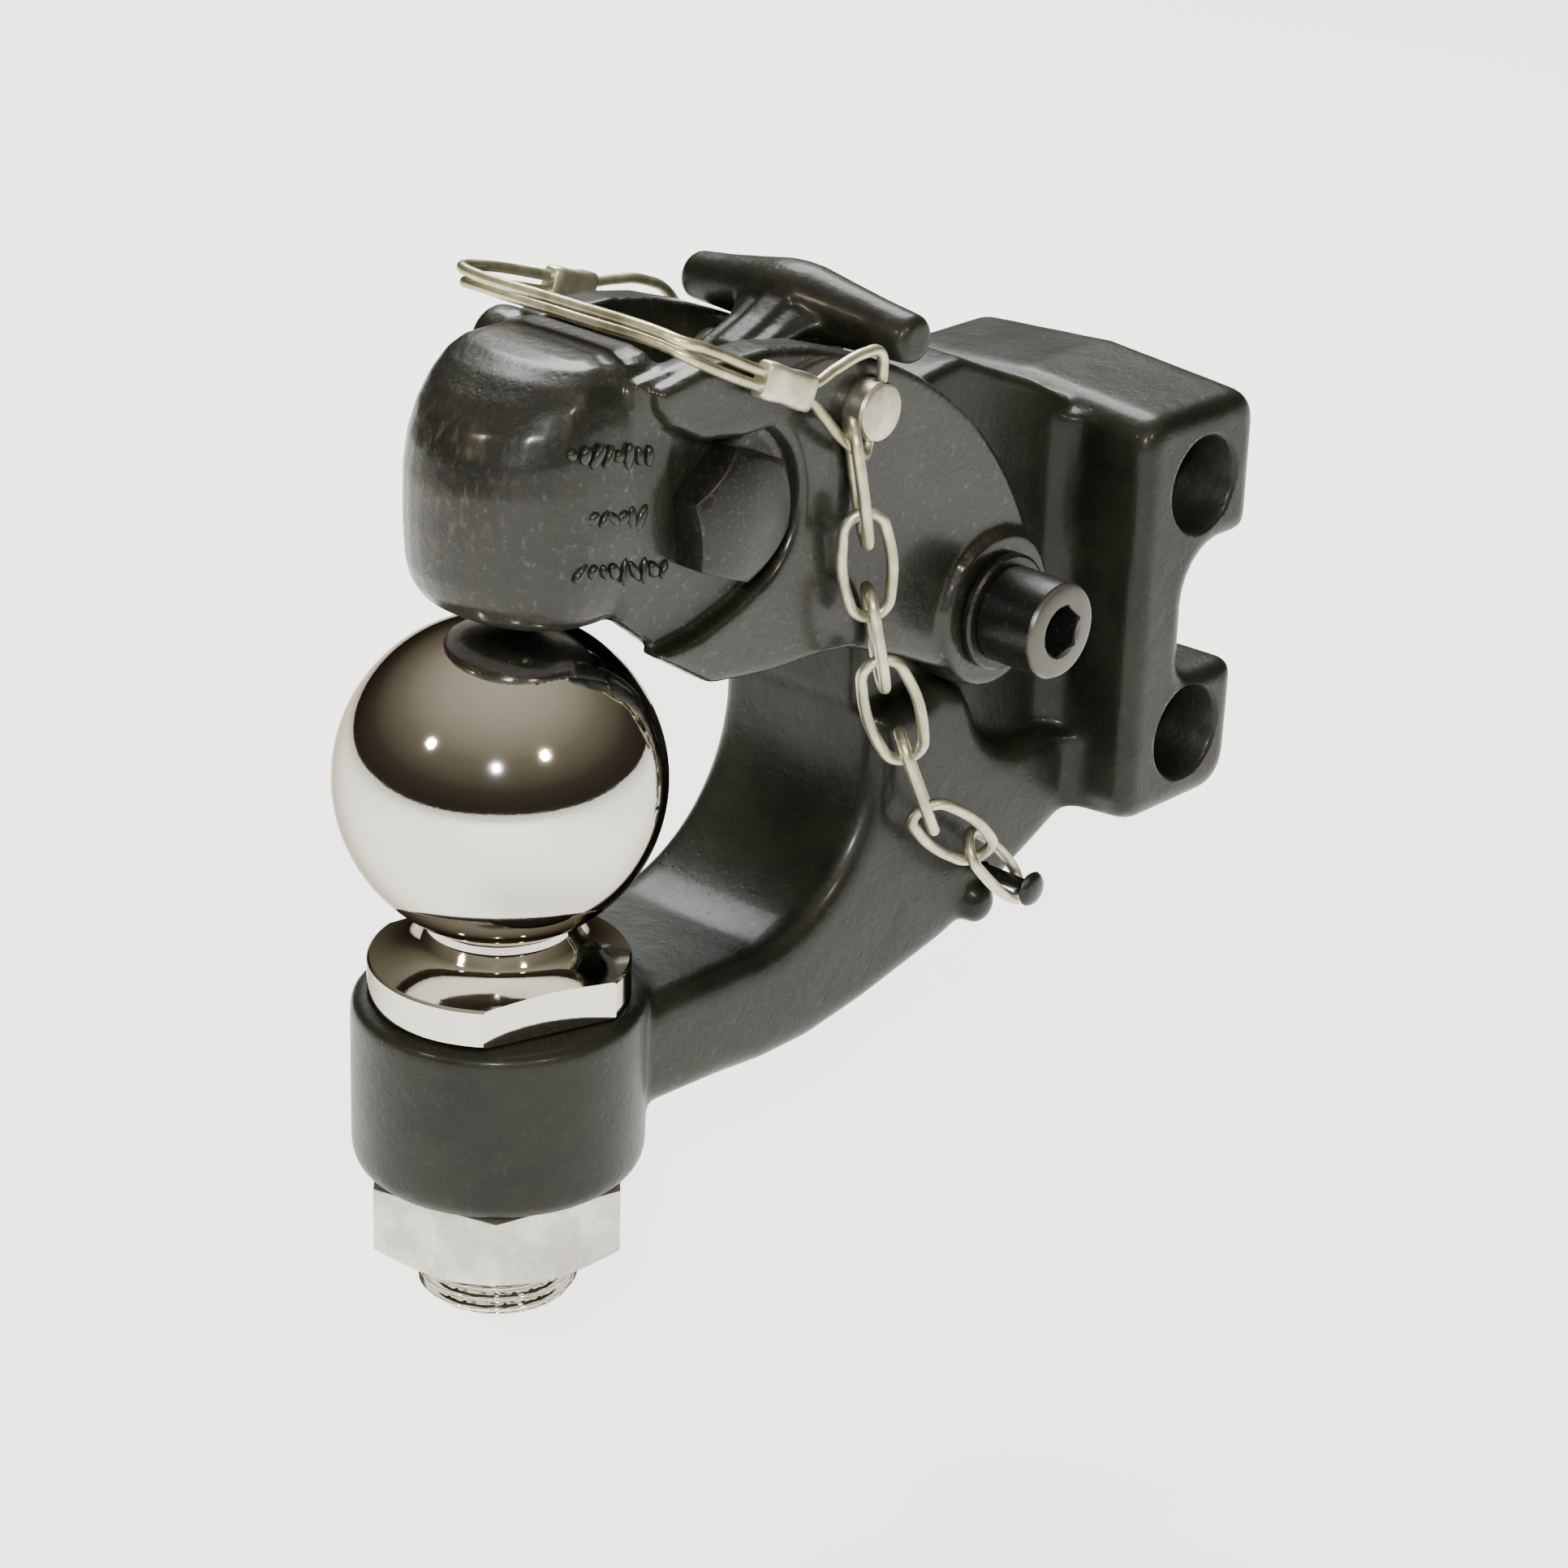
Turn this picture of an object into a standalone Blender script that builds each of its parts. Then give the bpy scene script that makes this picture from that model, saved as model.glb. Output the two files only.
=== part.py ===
"""Combination trailer hitch: a ball hitch with a hinged pintle jaw, bolted to a channel by two cross bolts.

+X points back to the channel, +Y to the hitch's left side, +Z up. The origin lies midway between the two
channel bolt holes, on the hitch's middle plane. Profiles are drawn in millimetres from the ball's centre.
"""

import math

import bmesh
import bpy
from mathutils import Matrix, Vector

MM = 0.001

# Driving dimensions, in millimetres
BALL_D = 50.8
SHANK_D = 25.4
BALL_REACH = 132.8
BOLT_SPACING = 44.45
BOLT_HOLE_D = 16.3
BLOCK_W = 58.8
ARM_W = 36.0
TONGUE_W = 25.0
JAW_W = 40.0
BOSS_D = 45.8
FLANGE_D = 40.6
BALL_NUT_AF = 38.1
JAW_PIN = (90.0, 9.2)
JAW_PIN_D = 12.7
LEVER_PIN = (28.5, 40.5)
LEVER_PIN_D = 12.7
LEVER_BOLT_AF = 19.05
LOCK_PIN = (57.0, 50.5)
LOCK_PIN_D = 9.4
HUMP_R = 40.0
THROAT = (38.5, -9.0)
THROAT_R = 28.3
WIRE_D = 1.7
CHAIN_STUD = (94.4, -39.6)
CHAIN_STUD_D = 2.4
LINK_WIRE_D = 1.9
LINK_W = 8.8

# Clearances, in millimetres
GAP = 0.3
RUNNING = 0.05
SIDE_PLAY = 0.5

FINE = 32
COARSE = 20


def clear_scene():
    for obj in list(bpy.data.objects):
        bpy.data.objects.remove(obj, do_unlink=True)


def finish_mesh(name, bm):
    """A bmesh drawn in millimetres from the ball's centre becomes a shaded object in metres from the origin."""
    bmesh.ops.remove_doubles(bm, verts=bm.verts, dist=1e-4)
    bmesh.ops.recalc_face_normals(bm, faces=bm.faces)
    bm.transform(Matrix.Scale(MM, 4) @ Matrix.Translation((-BALL_REACH, 0.0, 0.0)))
    mesh = bpy.data.meshes.new(name)
    bm.to_mesh(mesh)
    bm.free()
    obj = bpy.data.objects.new(name, mesh)
    bpy.context.scene.collection.objects.link(obj)
    return obj


def slab(name, outline, y_low, y_high, edge=0.0, side_edges_only=True):
    """A plate cut to an XZ outline, with its rim edges rounded off."""
    bm = bmesh.new()
    rings = []
    for y in (y_low, y_high):
        rings.append([bm.verts.new((x, y, z)) for x, z in outline])
    bm.faces.new(rings[0])
    bm.faces.new(rings[1][::-1])
    for i in range(len(outline)):
        j = (i + 1) % len(outline)
        bm.faces.new((rings[0][j], rings[0][i], rings[1][i], rings[1][j]))
    bmesh.ops.recalc_face_normals(bm, faces=bm.faces)
    if edge:
        rims = [e for e in bm.edges if abs(e.verts[0].co.y - e.verts[1].co.y) < 1e-6]
        bmesh.ops.bevel(bm, geom=rims, offset=edge, segments=2, profile=0.5, affect="EDGES")
    return finish_mesh(name, bm)


def lathe(name, profile, at=(0.0, 0.0, 0.0), axis="Z", steps=FINE, turn=0.0):
    """A (radius, height) profile turned about an axis through a point."""
    bm = bmesh.new()
    rings = []
    for radius, height in profile:
        if radius < 1e-6:
            rings.append([bm.verts.new((0.0, 0.0, height))])
            continue
        ring = []
        for i in range(steps):
            angle = 2.0 * math.pi * i / steps + turn
            ring.append(bm.verts.new((radius * math.cos(angle), radius * math.sin(angle), height)))
        rings.append(ring)
    for low, high in zip(rings, rings[1:]):
        for i in range(steps):
            j = (i + 1) % steps
            if len(low) == 1:
                bm.faces.new((low[0], high[i], high[j]))
            elif len(high) == 1:
                bm.faces.new((low[i], low[j], high[0]))
            else:
                bm.faces.new((low[i], low[j], high[j], high[i]))
    for ring, reverse in ((rings[0], True), (rings[-1], False)):
        if len(ring) > 1:
            bm.faces.new(ring[::-1] if reverse else ring)
    if axis == "Y":
        bm.transform(Matrix.Rotation(math.radians(-90.0), 4, "X"))
    bm.transform(Matrix.Translation(at))
    return finish_mesh(name, bm)


def rod(name, diameter, y_low, y_high, at, steps=FINE, turn=0.0):
    """A cylinder along Y through an XZ point."""
    profile = [(diameter / 2, y_low), (diameter / 2, y_high)]
    return lathe(name, profile, (at[0], 0.0, at[1]), "Y", steps, turn)


def hole(diameter, y_low, y_high, at, steps=FINE):
    """A cutter along Y whose flats, not its corners, lie at the stated diameter."""
    return rod("cutter", diameter / math.cos(math.pi / steps), y_low, y_high, at, steps)


def sweep(name, points, radii, closed=False, sides=8):
    """A round wire along a path."""
    bm = bmesh.new()
    path = [Vector(p) for p in points]
    count = len(path)
    rings = []
    normal = None
    for i, point in enumerate(path):
        if closed:
            tangent = path[(i + 1) % count] - path[i - 1]
        else:
            tangent = path[min(i + 1, count - 1)] - path[max(i - 1, 0)]
        tangent.normalize()
        if normal is None:
            normal = tangent.orthogonal().normalized()
        normal = (normal - tangent * normal.dot(tangent)).normalized()
        side = tangent.cross(normal)
        radius = radii[i] if isinstance(radii, (list, tuple)) else radii
        ring = []
        for k in range(sides):
            angle = 2.0 * math.pi * k / sides
            ring.append(bm.verts.new(point + radius * (math.cos(angle) * normal + math.sin(angle) * side)))
        rings.append(ring)
    last = count if closed else count - 1
    for i in range(last):
        low = rings[i]
        high = rings[(i + 1) % count]
        shift = 0
        if closed and i == count - 1:
            shift = min(range(sides), key=lambda s: (low[0].co - high[s].co).length)
        for k in range(sides):
            a = (k + shift) % sides
            b = (k + 1 + shift) % sides
            bm.faces.new((low[k], low[(k + 1) % sides], high[b], high[a]))
    if not closed:
        bm.faces.new(rings[0][::-1])
        bm.faces.new(rings[-1])
    return finish_mesh(name, bm)


def combine(target, others, operation):
    """Unites the others with the target, or cuts them from it, and removes them."""
    for other in others:
        modifier = target.modifiers.new("combine", "BOOLEAN")
        modifier.operation = operation
        modifier.solver = "EXACT"
        modifier.object = other
        graph = bpy.context.evaluated_depsgraph_get()
        mesh = bpy.data.meshes.new_from_object(target.evaluated_get(graph))
        target.modifiers.clear()
        target.data = mesh
        bpy.data.objects.remove(other, do_unlink=True)
    return target


def fuse(target, *others):
    return combine(target, others, "UNION")


def cut(target, *others):
    return combine(target, others, "DIFFERENCE")


def keep(target, *others):
    return combine(target, others, "INTERSECT")


def arc(centre, radius, start, end, count):
    """Points along an arc in the XZ plane, from one angle to another, in degrees."""
    found = []
    for i in range(count + 1):
        angle = math.radians(start + (end - start) * i / count)
        found.append((centre[0] + radius * math.cos(angle), centre[1] + radius * math.sin(angle)))
    return found


def from_bolts(points):
    """Outline points given from the bolt line, so that the block end follows the ball's reach."""
    return [(BALL_REACH + x, z) for x, z in points]


def paint(obj, name, colour, metallic, roughness, smooth=False, pivot=None):
    """Names the sub-part, gives it its own material, and puts its origin on its joint's axis."""
    obj.name = name
    obj.data.name = name
    material = bpy.data.materials.new(name)
    material.use_nodes = True
    shader = material.node_tree.nodes["Principled BSDF"]
    shader.inputs["Base Color"].default_value = (*colour, 1.0)
    shader.inputs["Metallic"].default_value = metallic
    shader.inputs["Roughness"].default_value = roughness
    obj.data.materials.clear()
    obj.data.materials.append(material)
    if pivot is not None:
        at = Vector((pivot[0] - BALL_REACH, pivot[1], pivot[2])) * MM
        obj.data.transform(Matrix.Translation(-at))
        obj.location = at
    obj.data.shade_smooth()
    obj.data.set_sharp_from_angle(angle=math.radians(35.0 if smooth else 25.0))
    return obj


BLACK = (0.018, 0.018, 0.016)
CHROME = (0.80, 0.80, 0.80)
ZINC = (0.62, 0.60, 0.52)
STEEL = (0.10, 0.10, 0.09)

clear_scene()

# Base forging: channel block, web, tongue, throat arm and ball boss
half_block = BLOCK_W / 2
half_arm = ARM_W / 2
half_tongue = TONGUE_W / 2
block_outline = [(-16.3, -33.0), (-13.8, -35.5), (6.7, -35.5), (10.7, -34.0), (13.0, -30.5)]
block_outline += [(13.4, -14.5), (11.4, -12.2), (1.7, -12.2), (-1.2, -10.4), (-2.2, -7.0)]
block_outline += [(-2.2, 1.0)] + arc((6.8, 1.6), 9.0, 180.0, 95.0, 4)[1:]
block_outline += [(11.8, 10.8), (13.9, 13.0), (13.9, 31.5), (12.2, 34.6), (8.7, 36.0)]
block_outline += [(-10.8, 36.0), (-14.6, 34.4), (-16.3, 31.0)]
base = slab("base", from_bolts(block_outline), -half_block, half_block, 3.0)

arm_outline = [(6.0, -38.5), (19.0, -36.6), (30.0, -37.0)]
arm_outline += arc(THROAT, THROAT_R, -84.0, 0.0, 8)
arm_outline += [(66.8, -4.6), (76.6, -4.2)]
arm_outline += arc(JAW_PIN, 14.3, 238.0, 262.0, 2)
arm_outline += [(90.5, -8.0), (93.0, -13.5), (98.0, -17.6), (106.0, -19.8)]
arm_outline += from_bolts([(-12.8, -20.4), (-12.8, -34.0), (-18.8, -37.2)])
arm_outline += [(102.5, -42.8), (92.5, -47.8), (78.0, -52.0)]
arm_outline += [(52.7, -57.0), (31.7, -56.2), (12.0, -55.6), (6.0, -54.0)]
fuse(base, slab("arm", arm_outline, -half_arm, half_arm, 2.5))

tongue_outline = [(74.0, -26.0), (68.2, -9.0), (66.8, -2.5), (66.8, 12.0), (65.6, 30.0), (64.5, 37.7)]
tongue_outline += [(69.2, 44.1)] + arc(JAW_PIN, HUMP_R, 117.0, 90.0, 4)
tongue_outline += [(98.0, 45.6)] + from_bolts([(-23.8, 41.0), (-13.3, 35.4), (-8.8, 30.0), (-8.8, -28.0)])
tongue_outline += [(78.0, -34.0)]
fuse(base, slab("tongue", tongue_outline, -half_tongue, half_tongue, 1.2))

keel_outline = [(12.0, -54.0), (18.0, -59.4), (24.0, -61.0), (38.0, -60.6), (48.0, -57.6), (56.0, -53.0)]
fuse(base, slab("keel", keel_outline, -9.5, 9.5, 2.0))
boss_profile = [(BOSS_D / 2 - 3.0, -64.3), (BOSS_D / 2 - 0.9, -63.4), (BOSS_D / 2, -61.3)]
boss_profile += [(BOSS_D / 2, -36.9), (BOSS_D / 2 - 1.0, -35.8)]
fuse(base, lathe("boss", boss_profile))

button = lathe("button", [(3.6, 0.0), (3.4, 1.0), (2.4, 1.8), (0.0, 2.2)], steps=12)
button.data.transform(Matrix.Translation(Vector((BALL_REACH, 0.0, 0.0)) * MM))
button.data.transform(Matrix.Rotation(math.radians(90.0), 4, "X"))
button.data.transform(Matrix.Translation(Vector((92.8 - BALL_REACH, -half_arm + 1.0, -42.6)) * MM))
fuse(base, button)

shank_hole = lathe("cutter", [(SHANK_D / 2 + GAP, -80.0), (SHANK_D / 2 + GAP, -20.0)])
jaw_hole = hole(JAW_PIN_D + 2 * GAP, -30.0, 30.0, JAW_PIN)
cut(base, shank_hole, jaw_hole)
cut(base, hole(CHAIN_STUD_D + 2 * GAP, -half_arm - 1.0, -half_arm + 5.0, CHAIN_STUD, 12))
for z in (-BOLT_SPACING / 2, BOLT_SPACING / 2):
    cut(base, hole(BOLT_HOLE_D, -40.0, 40.0, (BALL_REACH, z)))
paint(base, "base_forging", BLACK, 0.35, 0.42)

# Tow ball with neck, flange, wrench flats and threaded shank, and its nut
ball_r = BALL_D / 2
neck_r = 11.2
profile = [(0.0, ball_r)]
for i in range(1, 14):
    angle = math.radians(90.0 - i * (90.0 + 63.8) / 13)
    profile.append((ball_r * math.cos(angle), ball_r * math.sin(angle)))
profile += [(neck_r + 0.3, -24.5), (12.6, -26.2), (15.2, -28.2), (FLANGE_D / 2 - 1.0, -29.2)]
profile += [(FLANGE_D / 2, -29.8), (FLANGE_D / 2, -35.4), (SHANK_D / 2, -35.5)]
profile += [(SHANK_D / 2, -84.9), (SHANK_D / 2 - 1.5, -86.5), (0.0, -86.5)]
ball = lathe("ball", profile[::-1], steps=40)
flat = slab("cutter", [(16.9, -33.0), (30.0, -33.0), (30.0, -22.0), (16.9, -22.0)], -25.0, 25.0)
flat.data.transform(Matrix.Translation(Vector((BALL_REACH, 0.0, -3.0)) * MM))
for turn in (-107.0, 73.0):
    cutter = flat.copy()
    cutter.data = flat.data.copy()
    cutter.data.transform(Matrix.Rotation(math.radians(turn), 4, "Z"))
    cutter.data.transform(Matrix.Translation(Vector((-BALL_REACH, 0.0, 0.0)) * MM))
    bpy.context.scene.collection.objects.link(cutter)
    cut(ball, cutter)
bpy.data.objects.remove(flat, do_unlink=True)
paint(ball, "tow_ball", CHROME, 1.0, 0.08, True)

nut_top = -64.3 - GAP
nut_low = nut_top - 13.0
nut = lathe("nut", [(BALL_NUT_AF / 2 / math.cos(math.pi / 6), nut_low), (BALL_NUT_AF / 2 / math.cos(math.pi / 6), nut_top)],
            steps=6, turn=math.radians(-135.0))
round_off = [(BALL_NUT_AF / 2 - 1.2, nut_low), (23.5, nut_low + 2.6), (23.5, nut_top)]
keep(nut, lathe("cutter", round_off))
cut(nut, lathe("cutter", [(SHANK_D / 2 + GAP, nut_low - 5.0), (SHANK_D / 2 + GAP, nut_top + 5.0)]))
paint(nut, "ball_nut", ZINC, 1.0, 0.25)

# Upper jaw: nose and two wings in one forging, with seats for the lever bolt and raised pivot discs
half_jaw = JAW_W / 2
jaw_in = half_tongue + SIDE_PLAY
seat_y = half_jaw - 3.4
pivot_y = half_jaw + 1.6
nose_outline = [(-13.0, 35.0), (-13.0, 54.0)] + arc((0.6, 53.0), 13.4, 165.0, 95.0, 4)
nose_outline += [(11.0, 66.0), (17.5, 63.4), (17.5, 27.6), (-4.5, 27.6), (-9.2, 29.2), (-12.0, 31.8)]
nose = slab("nose", nose_outline, -seat_y - 0.4, seat_y + 0.4, 2.0)
plan = lathe("cutter", [(17.8, 20.0), (17.8, 70.0)], (4.8, 0.0, 0.0), steps=FINE)
fuse(plan, slab("cutter", [(4.8, 20.0), (30.0, 20.0), (30.0, 70.0), (4.8, 70.0)], -17.8, 17.8))
keep(nose, plan)

wing_rear = arc((35.0, -8.0), 70.0, 66.0, 24.5, 8)
pivot_disc = arc(JAW_PIN, 13.5, 20.0, -130.0, 6)
wing_low = [(55.7, 11.2), (39.6, 12.1), (25.1, 13.9)]
inner = [(12.3, 62.4), (35.6, 64.4), (54.0, 59.6)] + wing_rear + pivot_disc + wing_low + [(8.0, 27.6)]
seat_edge = arc((29.0, 40.0), 13.8, -60.0, 55.0, 5)
outer = [(12.3, 62.4), (35.6, 64.4), (54.0, 59.6)] + wing_rear + pivot_disc + wing_low
outer += [(13.0, 21.5), (22.0, 22.5)] + seat_edge + [(22.0, 52.6), (15.0, 56.6)]
jaw = nose
for side in (-1, 1):
    layers = ((inner, jaw_in, seat_y), (outer, seat_y - 0.6, half_jaw))
    for outline, low, high in layers:
        span = sorted((side * low, side * high))
        fuse(jaw, slab("wing", outline, span[0], span[1], 0.6 if high == half_jaw else 0.0))
    span = sorted((side * (half_jaw - 1.0), side * pivot_y))
    fuse(jaw, rod("disc", 26.0, span[0], span[1], JAW_PIN, 28))
jaw_hole = hole(JAW_PIN_D + 2 * RUNNING, -30.0, 30.0, JAW_PIN)
lever_hole = hole(LEVER_PIN_D + 2 * GAP, -30.0, 30.0, LEVER_PIN)
pin_hole = hole(LOCK_PIN_D + 2 * RUNNING, -30.0, 30.0, LOCK_PIN, 24)
cut(jaw, jaw_hole, lever_hole, pin_hole)
paint(jaw, "upper_jaw", BLACK, 0.35, 0.42, pivot=(JAW_PIN[0], 0.0, JAW_PIN[1]))

# Jaw pivot: socket-head bolt, collar washer and nut, held in the base
collar_y = pivot_y + GAP
head_y = collar_y + 1.6
bolt = rod("bolt", JAW_PIN_D, -head_y - 0.5, head_y + 14.0, JAW_PIN, FINE)
head = lathe("head", [(8.0, -head_y - GAP - 11.2), (8.0, -head_y - GAP)], (JAW_PIN[0], 0.0, JAW_PIN[1]), "Y", 28)
fuse(bolt, head)
cut(bolt, rod("cutter", 8.0 / math.cos(math.pi / 6), -head_y - 20.0, -head_y - 5.5, JAW_PIN, 6))
paint(bolt, "pivot_bolt", STEEL, 0.8, 0.35)
for name, side in (("pivot_washer", -1), ("pivot_washer_far", 1)):
    span = sorted((side * collar_y, side * head_y))
    washer = rod("washer", 19.4, span[0], span[1], JAW_PIN, 28)
    cut(washer, hole(JAW_PIN_D + 2 * GAP, -40.0, 40.0, JAW_PIN))
    paint(washer, name, STEEL, 0.8, 0.4)
nut = rod("nut", 19.05 / math.cos(math.pi / 6), head_y + GAP, head_y + GAP + 10.9, JAW_PIN, 6)
cut(nut, hole(JAW_PIN_D + 2 * GAP, 0.0, 60.0, JAW_PIN))
paint(nut, "pivot_nut", STEEL, 0.8, 0.4)

# Lever bolt and its nut, held in the jaw
bolt_head = rod("head", LEVER_BOLT_AF / math.cos(math.pi / 6), -seat_y - GAP - 6.0, -seat_y - GAP, LEVER_PIN, 6,
                math.radians(22.0))
bolt = rod("bolt", LEVER_PIN_D, -seat_y - 0.5, seat_y + 9.0, LEVER_PIN, FINE)
fuse(bolt, bolt_head)
paint(bolt, "lever_bolt", BLACK, 0.5, 0.4)
nut = rod("nut", LEVER_BOLT_AF / math.cos(math.pi / 6), seat_y + GAP, seat_y + GAP + 6.5, LEVER_PIN, 6)
cut(nut, hole(LEVER_PIN_D + 2 * GAP, 0.0, 60.0, LEVER_PIN))
paint(nut, "lever_bolt_nut", BLACK, 0.5, 0.4)

# Lock lever: eye, stem with a tooth behind the lock pin, and T bar
eye = rod("eye", 20.0, -half_tongue + 0.1, half_tongue - 0.1, LEVER_PIN, FINE)
stem_outline = [(30.0, 31.4), (36.0, 34.5), (44.0, 42.0), (49.3, 48.6), (51.0, 53.2), (54.0, 56.2)]
stem_outline += [(57.8, 57.2), (61.2, 55.4), (62.8, 50.5), (64.2, 44.0), (64.5, 38.3), (67.75, 42.76)]
stem_outline += [(68.3, 50.0), (68.6, 58.0), (67.0, 63.0), (62.0, 65.0), (59.0, 62.5), (54.0, 60.0)]
stem_outline += [(47.0, 57.3), (37.0, 52.6), (30.0, 49.6)]
fuse(eye, slab("stem", stem_outline, -6.0, 6.0, 0.7))
bar_path = []
bar_radii = []
for y, x, z, radius in ((23.5, 64.5, 60.4, 3.2), (22.6, 64.5, 60.4, 4.15), (13.2, 64.5, 60.5, 4.2),
                        (11.6, 64.2, 60.9, 4.8), (6.0, 63.8, 61.4, 5.7)):
    bar_path.append((x, -y, z))
    bar_radii.append(radius)
bar_path += [(x, -y, z) for x, y, z in reversed(bar_path)]
bar_radii += bar_radii[::-1]
fuse(eye, sweep("bar", bar_path, bar_radii, sides=16))
cut(eye, hole(LEVER_PIN_D + 2 * RUNNING, -30.0, 30.0, LEVER_PIN))
paint(eye, "lock_lever", BLACK, 0.35, 0.42, pivot=(LEVER_PIN[0], 0.0, LEVER_PIN[1]))

# Lock pin with a drilled head, and its wire bail with two crimped ferrules
pin_tip = half_jaw + 2.6
pin_head = half_jaw + 3.6
pin_profile = [(LOCK_PIN_D / 2 - 0.8, -pin_head), (LOCK_PIN_D / 2, -pin_head + 0.8)]
pin_profile += [(LOCK_PIN_D / 2, pin_tip - 1.2), (LOCK_PIN_D / 2 - 1.2, pin_tip)]
pin = lathe("pin", pin_profile, (LOCK_PIN[0], 0.0, LOCK_PIN[1]), "Y", 24)
bail_y = half_jaw + 1.9
drill = Vector((0.25, 0.0, 0.97)).normalized()
drill_at = Vector((LOCK_PIN[0], -bail_y, LOCK_PIN[1]))
drill_d = WIRE_D + 2 * GAP
cutter = sweep("cutter", [drill_at - 9.0 * drill, drill_at + 9.0 * drill], drill_d / 2 / math.cos(math.pi / 8))
cut(pin, cutter)
paint(pin, "safety_pin", ZINC, 1.0, 0.3, pivot=(LOCK_PIN[0], -bail_y, LOCK_PIN[1]))

low_in = drill_at - 5.6 * drill
high_in = drill_at + 6.8 * drill
near_loop = [low_in, (53.8, -bail_y - 0.9, 44.4), (50.6, -bail_y - 2.0, 46.2)]
near_loop += [(46.6, -bail_y - 1.8, 49.6), (44.0, -bail_y - 1.2, 52.8), (41.4, -bail_y - 0.8, 55.75)]
near_top = [(41.2, -bail_y - 0.8, 58.25), (47.0, -bail_y - 0.6, 59.4), (55.4, -bail_y - 0.3, 60.2), high_in]
cross_x = 14.5
cross_z = 69.6
far_y = half_jaw + 4.6
lower = [drill_at] + [low_in] + near_loop[1:]
lower += [(30.0, -bail_y - 0.8, 60.6), (19.0, -bail_y - 0.6, 66.0), (15.2, -bail_y + 0.6, 68.2)]
lower += [(cross_x, -bail_y + 3.5, cross_z - 0.6), (cross_x, 0.0, cross_z - 0.6), (cross_x, far_y - 3.5, cross_z - 0.6)]
lower += [(15.4, far_y - 0.6, cross_z - 1.0), (20.0, far_y, 67.4), (33.0, far_y, 63.4), (42.4, far_y, 60.4)]
far_end = [(46.0, far_y, 58.0), (50.0, far_y, 53.6), (52.4, far_y, 47.4), (57.0, far_y, 44.6), (62.0, far_y, 46.6)]
far_end += [(63.2, far_y, 51.6), (60.2, far_y, 57.4), (54.0, far_y, 61.0), (47.0, far_y, 62.4)]
upper = [(42.8, far_y, 62.9), (33.2, far_y, 65.9), (20.2, far_y, 70.0), (14.6, far_y - 0.8, 71.2)]
upper += [(cross_x - 1.0, far_y - 3.8, cross_z + 1.6), (cross_x - 1.0, 0.0, cross_z + 1.6)]
upper += [(cross_x - 1.0, -bail_y + 3.8, cross_z + 1.6), (14.2, -bail_y + 0.4, 70.6), (18.4, -bail_y - 0.6, 68.8)]
upper += [(29.6, -bail_y - 0.8, 63.2)] + near_top
bail = sweep("bail", lower + far_end + upper, WIRE_D / 2, closed=True, sides=6)
paint(bail, "bail_wire", ZINC, 1.0, 0.3, True, pivot=(LOCK_PIN[0], -bail_y, LOCK_PIN[1]))


def ferrule(name, start, end, y):
    """A flattened crimp sleeve over both strands of the bail."""
    direction = Vector((end[0] - start[0], 0.0, end[1] - start[1]))
    length = direction.length
    body = slab("body", [(0.0, -2.9), (length, -2.9), (length, 2.9), (0.0, 2.9)], -1.75, 1.75, 0.8)
    bore = slab("cutter", [(-2.0, -2.42), (length + 2.0, -2.42), (length + 2.0, 2.42), (-2.0, 2.42)], -1.2, 1.2)
    cut(body, bore)
    turn = math.atan2(direction.z, direction.x)
    body.data.transform(Matrix.Translation(Vector((BALL_REACH, 0.0, 0.0)) * MM))
    body.data.transform(Matrix.Rotation(-turn, 4, "Y"))
    body.data.transform(Matrix.Translation(Vector((start[0] - BALL_REACH, y, start[1])) * MM))
    return paint(body, name, ZINC, 1.0, 0.35, pivot=(LOCK_PIN[0], -bail_y, LOCK_PIN[1]))


ferrule("near_ferrule", (30.3, 61.75), (41.0, 57.0), -bail_y - 0.8)
ferrule("far_ferrule", (33.2, 64.6), (42.4, 61.65), far_y)

# Safety chain: links from the bail down to a staple on the arm
chain_y = half_jaw + 4.4
joints = [(49.8, 47.9), (52.8, 33.5), (55.0, 20.5), (58.3, 8.0), (64.8, -6.6), (71.7, -20.4), (84.0, -30.4)]
joints += [CHAIN_STUD]
tilts = [52.0, -30.0, 52.0, -38.0, 50.0, -38.0, 36.0]
for number, (start, end) in enumerate(zip(joints, joints[1:])):
    top = Vector((start[0], -chain_y + (0.5 if number == 0 else 0.0), start[1]))
    low = Vector((end[0], -chain_y, end[1]))
    along = low - top
    inside = along.length + LINK_WIRE_D + (1.7 if number == 0 else 0.8)
    along.normalize()
    across = along.cross(Vector((0.0, 1.0, 0.0))).normalized()
    tilt = math.radians(tilts[number])
    wide = math.cos(tilt) * across + math.sin(tilt) * across.cross(along)
    middle = (top + low) / 2
    bend = (LINK_W - LINK_WIRE_D) / 2
    straight = (inside + LINK_WIRE_D) / 2 - bend
    ring = []
    for end_sign, first in ((1, -90.0), (-1, 90.0)):
        for k in range(6):
            angle = math.radians(first + 36.0 * k)
            ring.append(middle + along * (end_sign * straight + bend * math.cos(angle))
                        + wide * (bend * math.sin(angle)))
    link = sweep("link", ring, LINK_WIRE_D / 2, closed=True, sides=6)
    paint(link, f"chain_link_{number + 1}", ZINC, 1.0, 0.35, True)

stud_profile = [(CHAIN_STUD_D / 2 - 0.2, -half_arm + 4.6), (CHAIN_STUD_D / 2, -half_arm + 4.4)]
stud_profile += [(CHAIN_STUD_D / 2, -chain_y - 3.4), (3.0, -chain_y - 3.6), (2.6, -chain_y - 4.6), (0.0, -chain_y - 5.0)]
stud = lathe("stud", stud_profile[::-1], (CHAIN_STUD[0], 0.0, CHAIN_STUD[1]), "Y", 16)
paint(stud, "chain_stud", STEEL, 0.8, 0.4, True)
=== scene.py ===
import math

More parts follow.
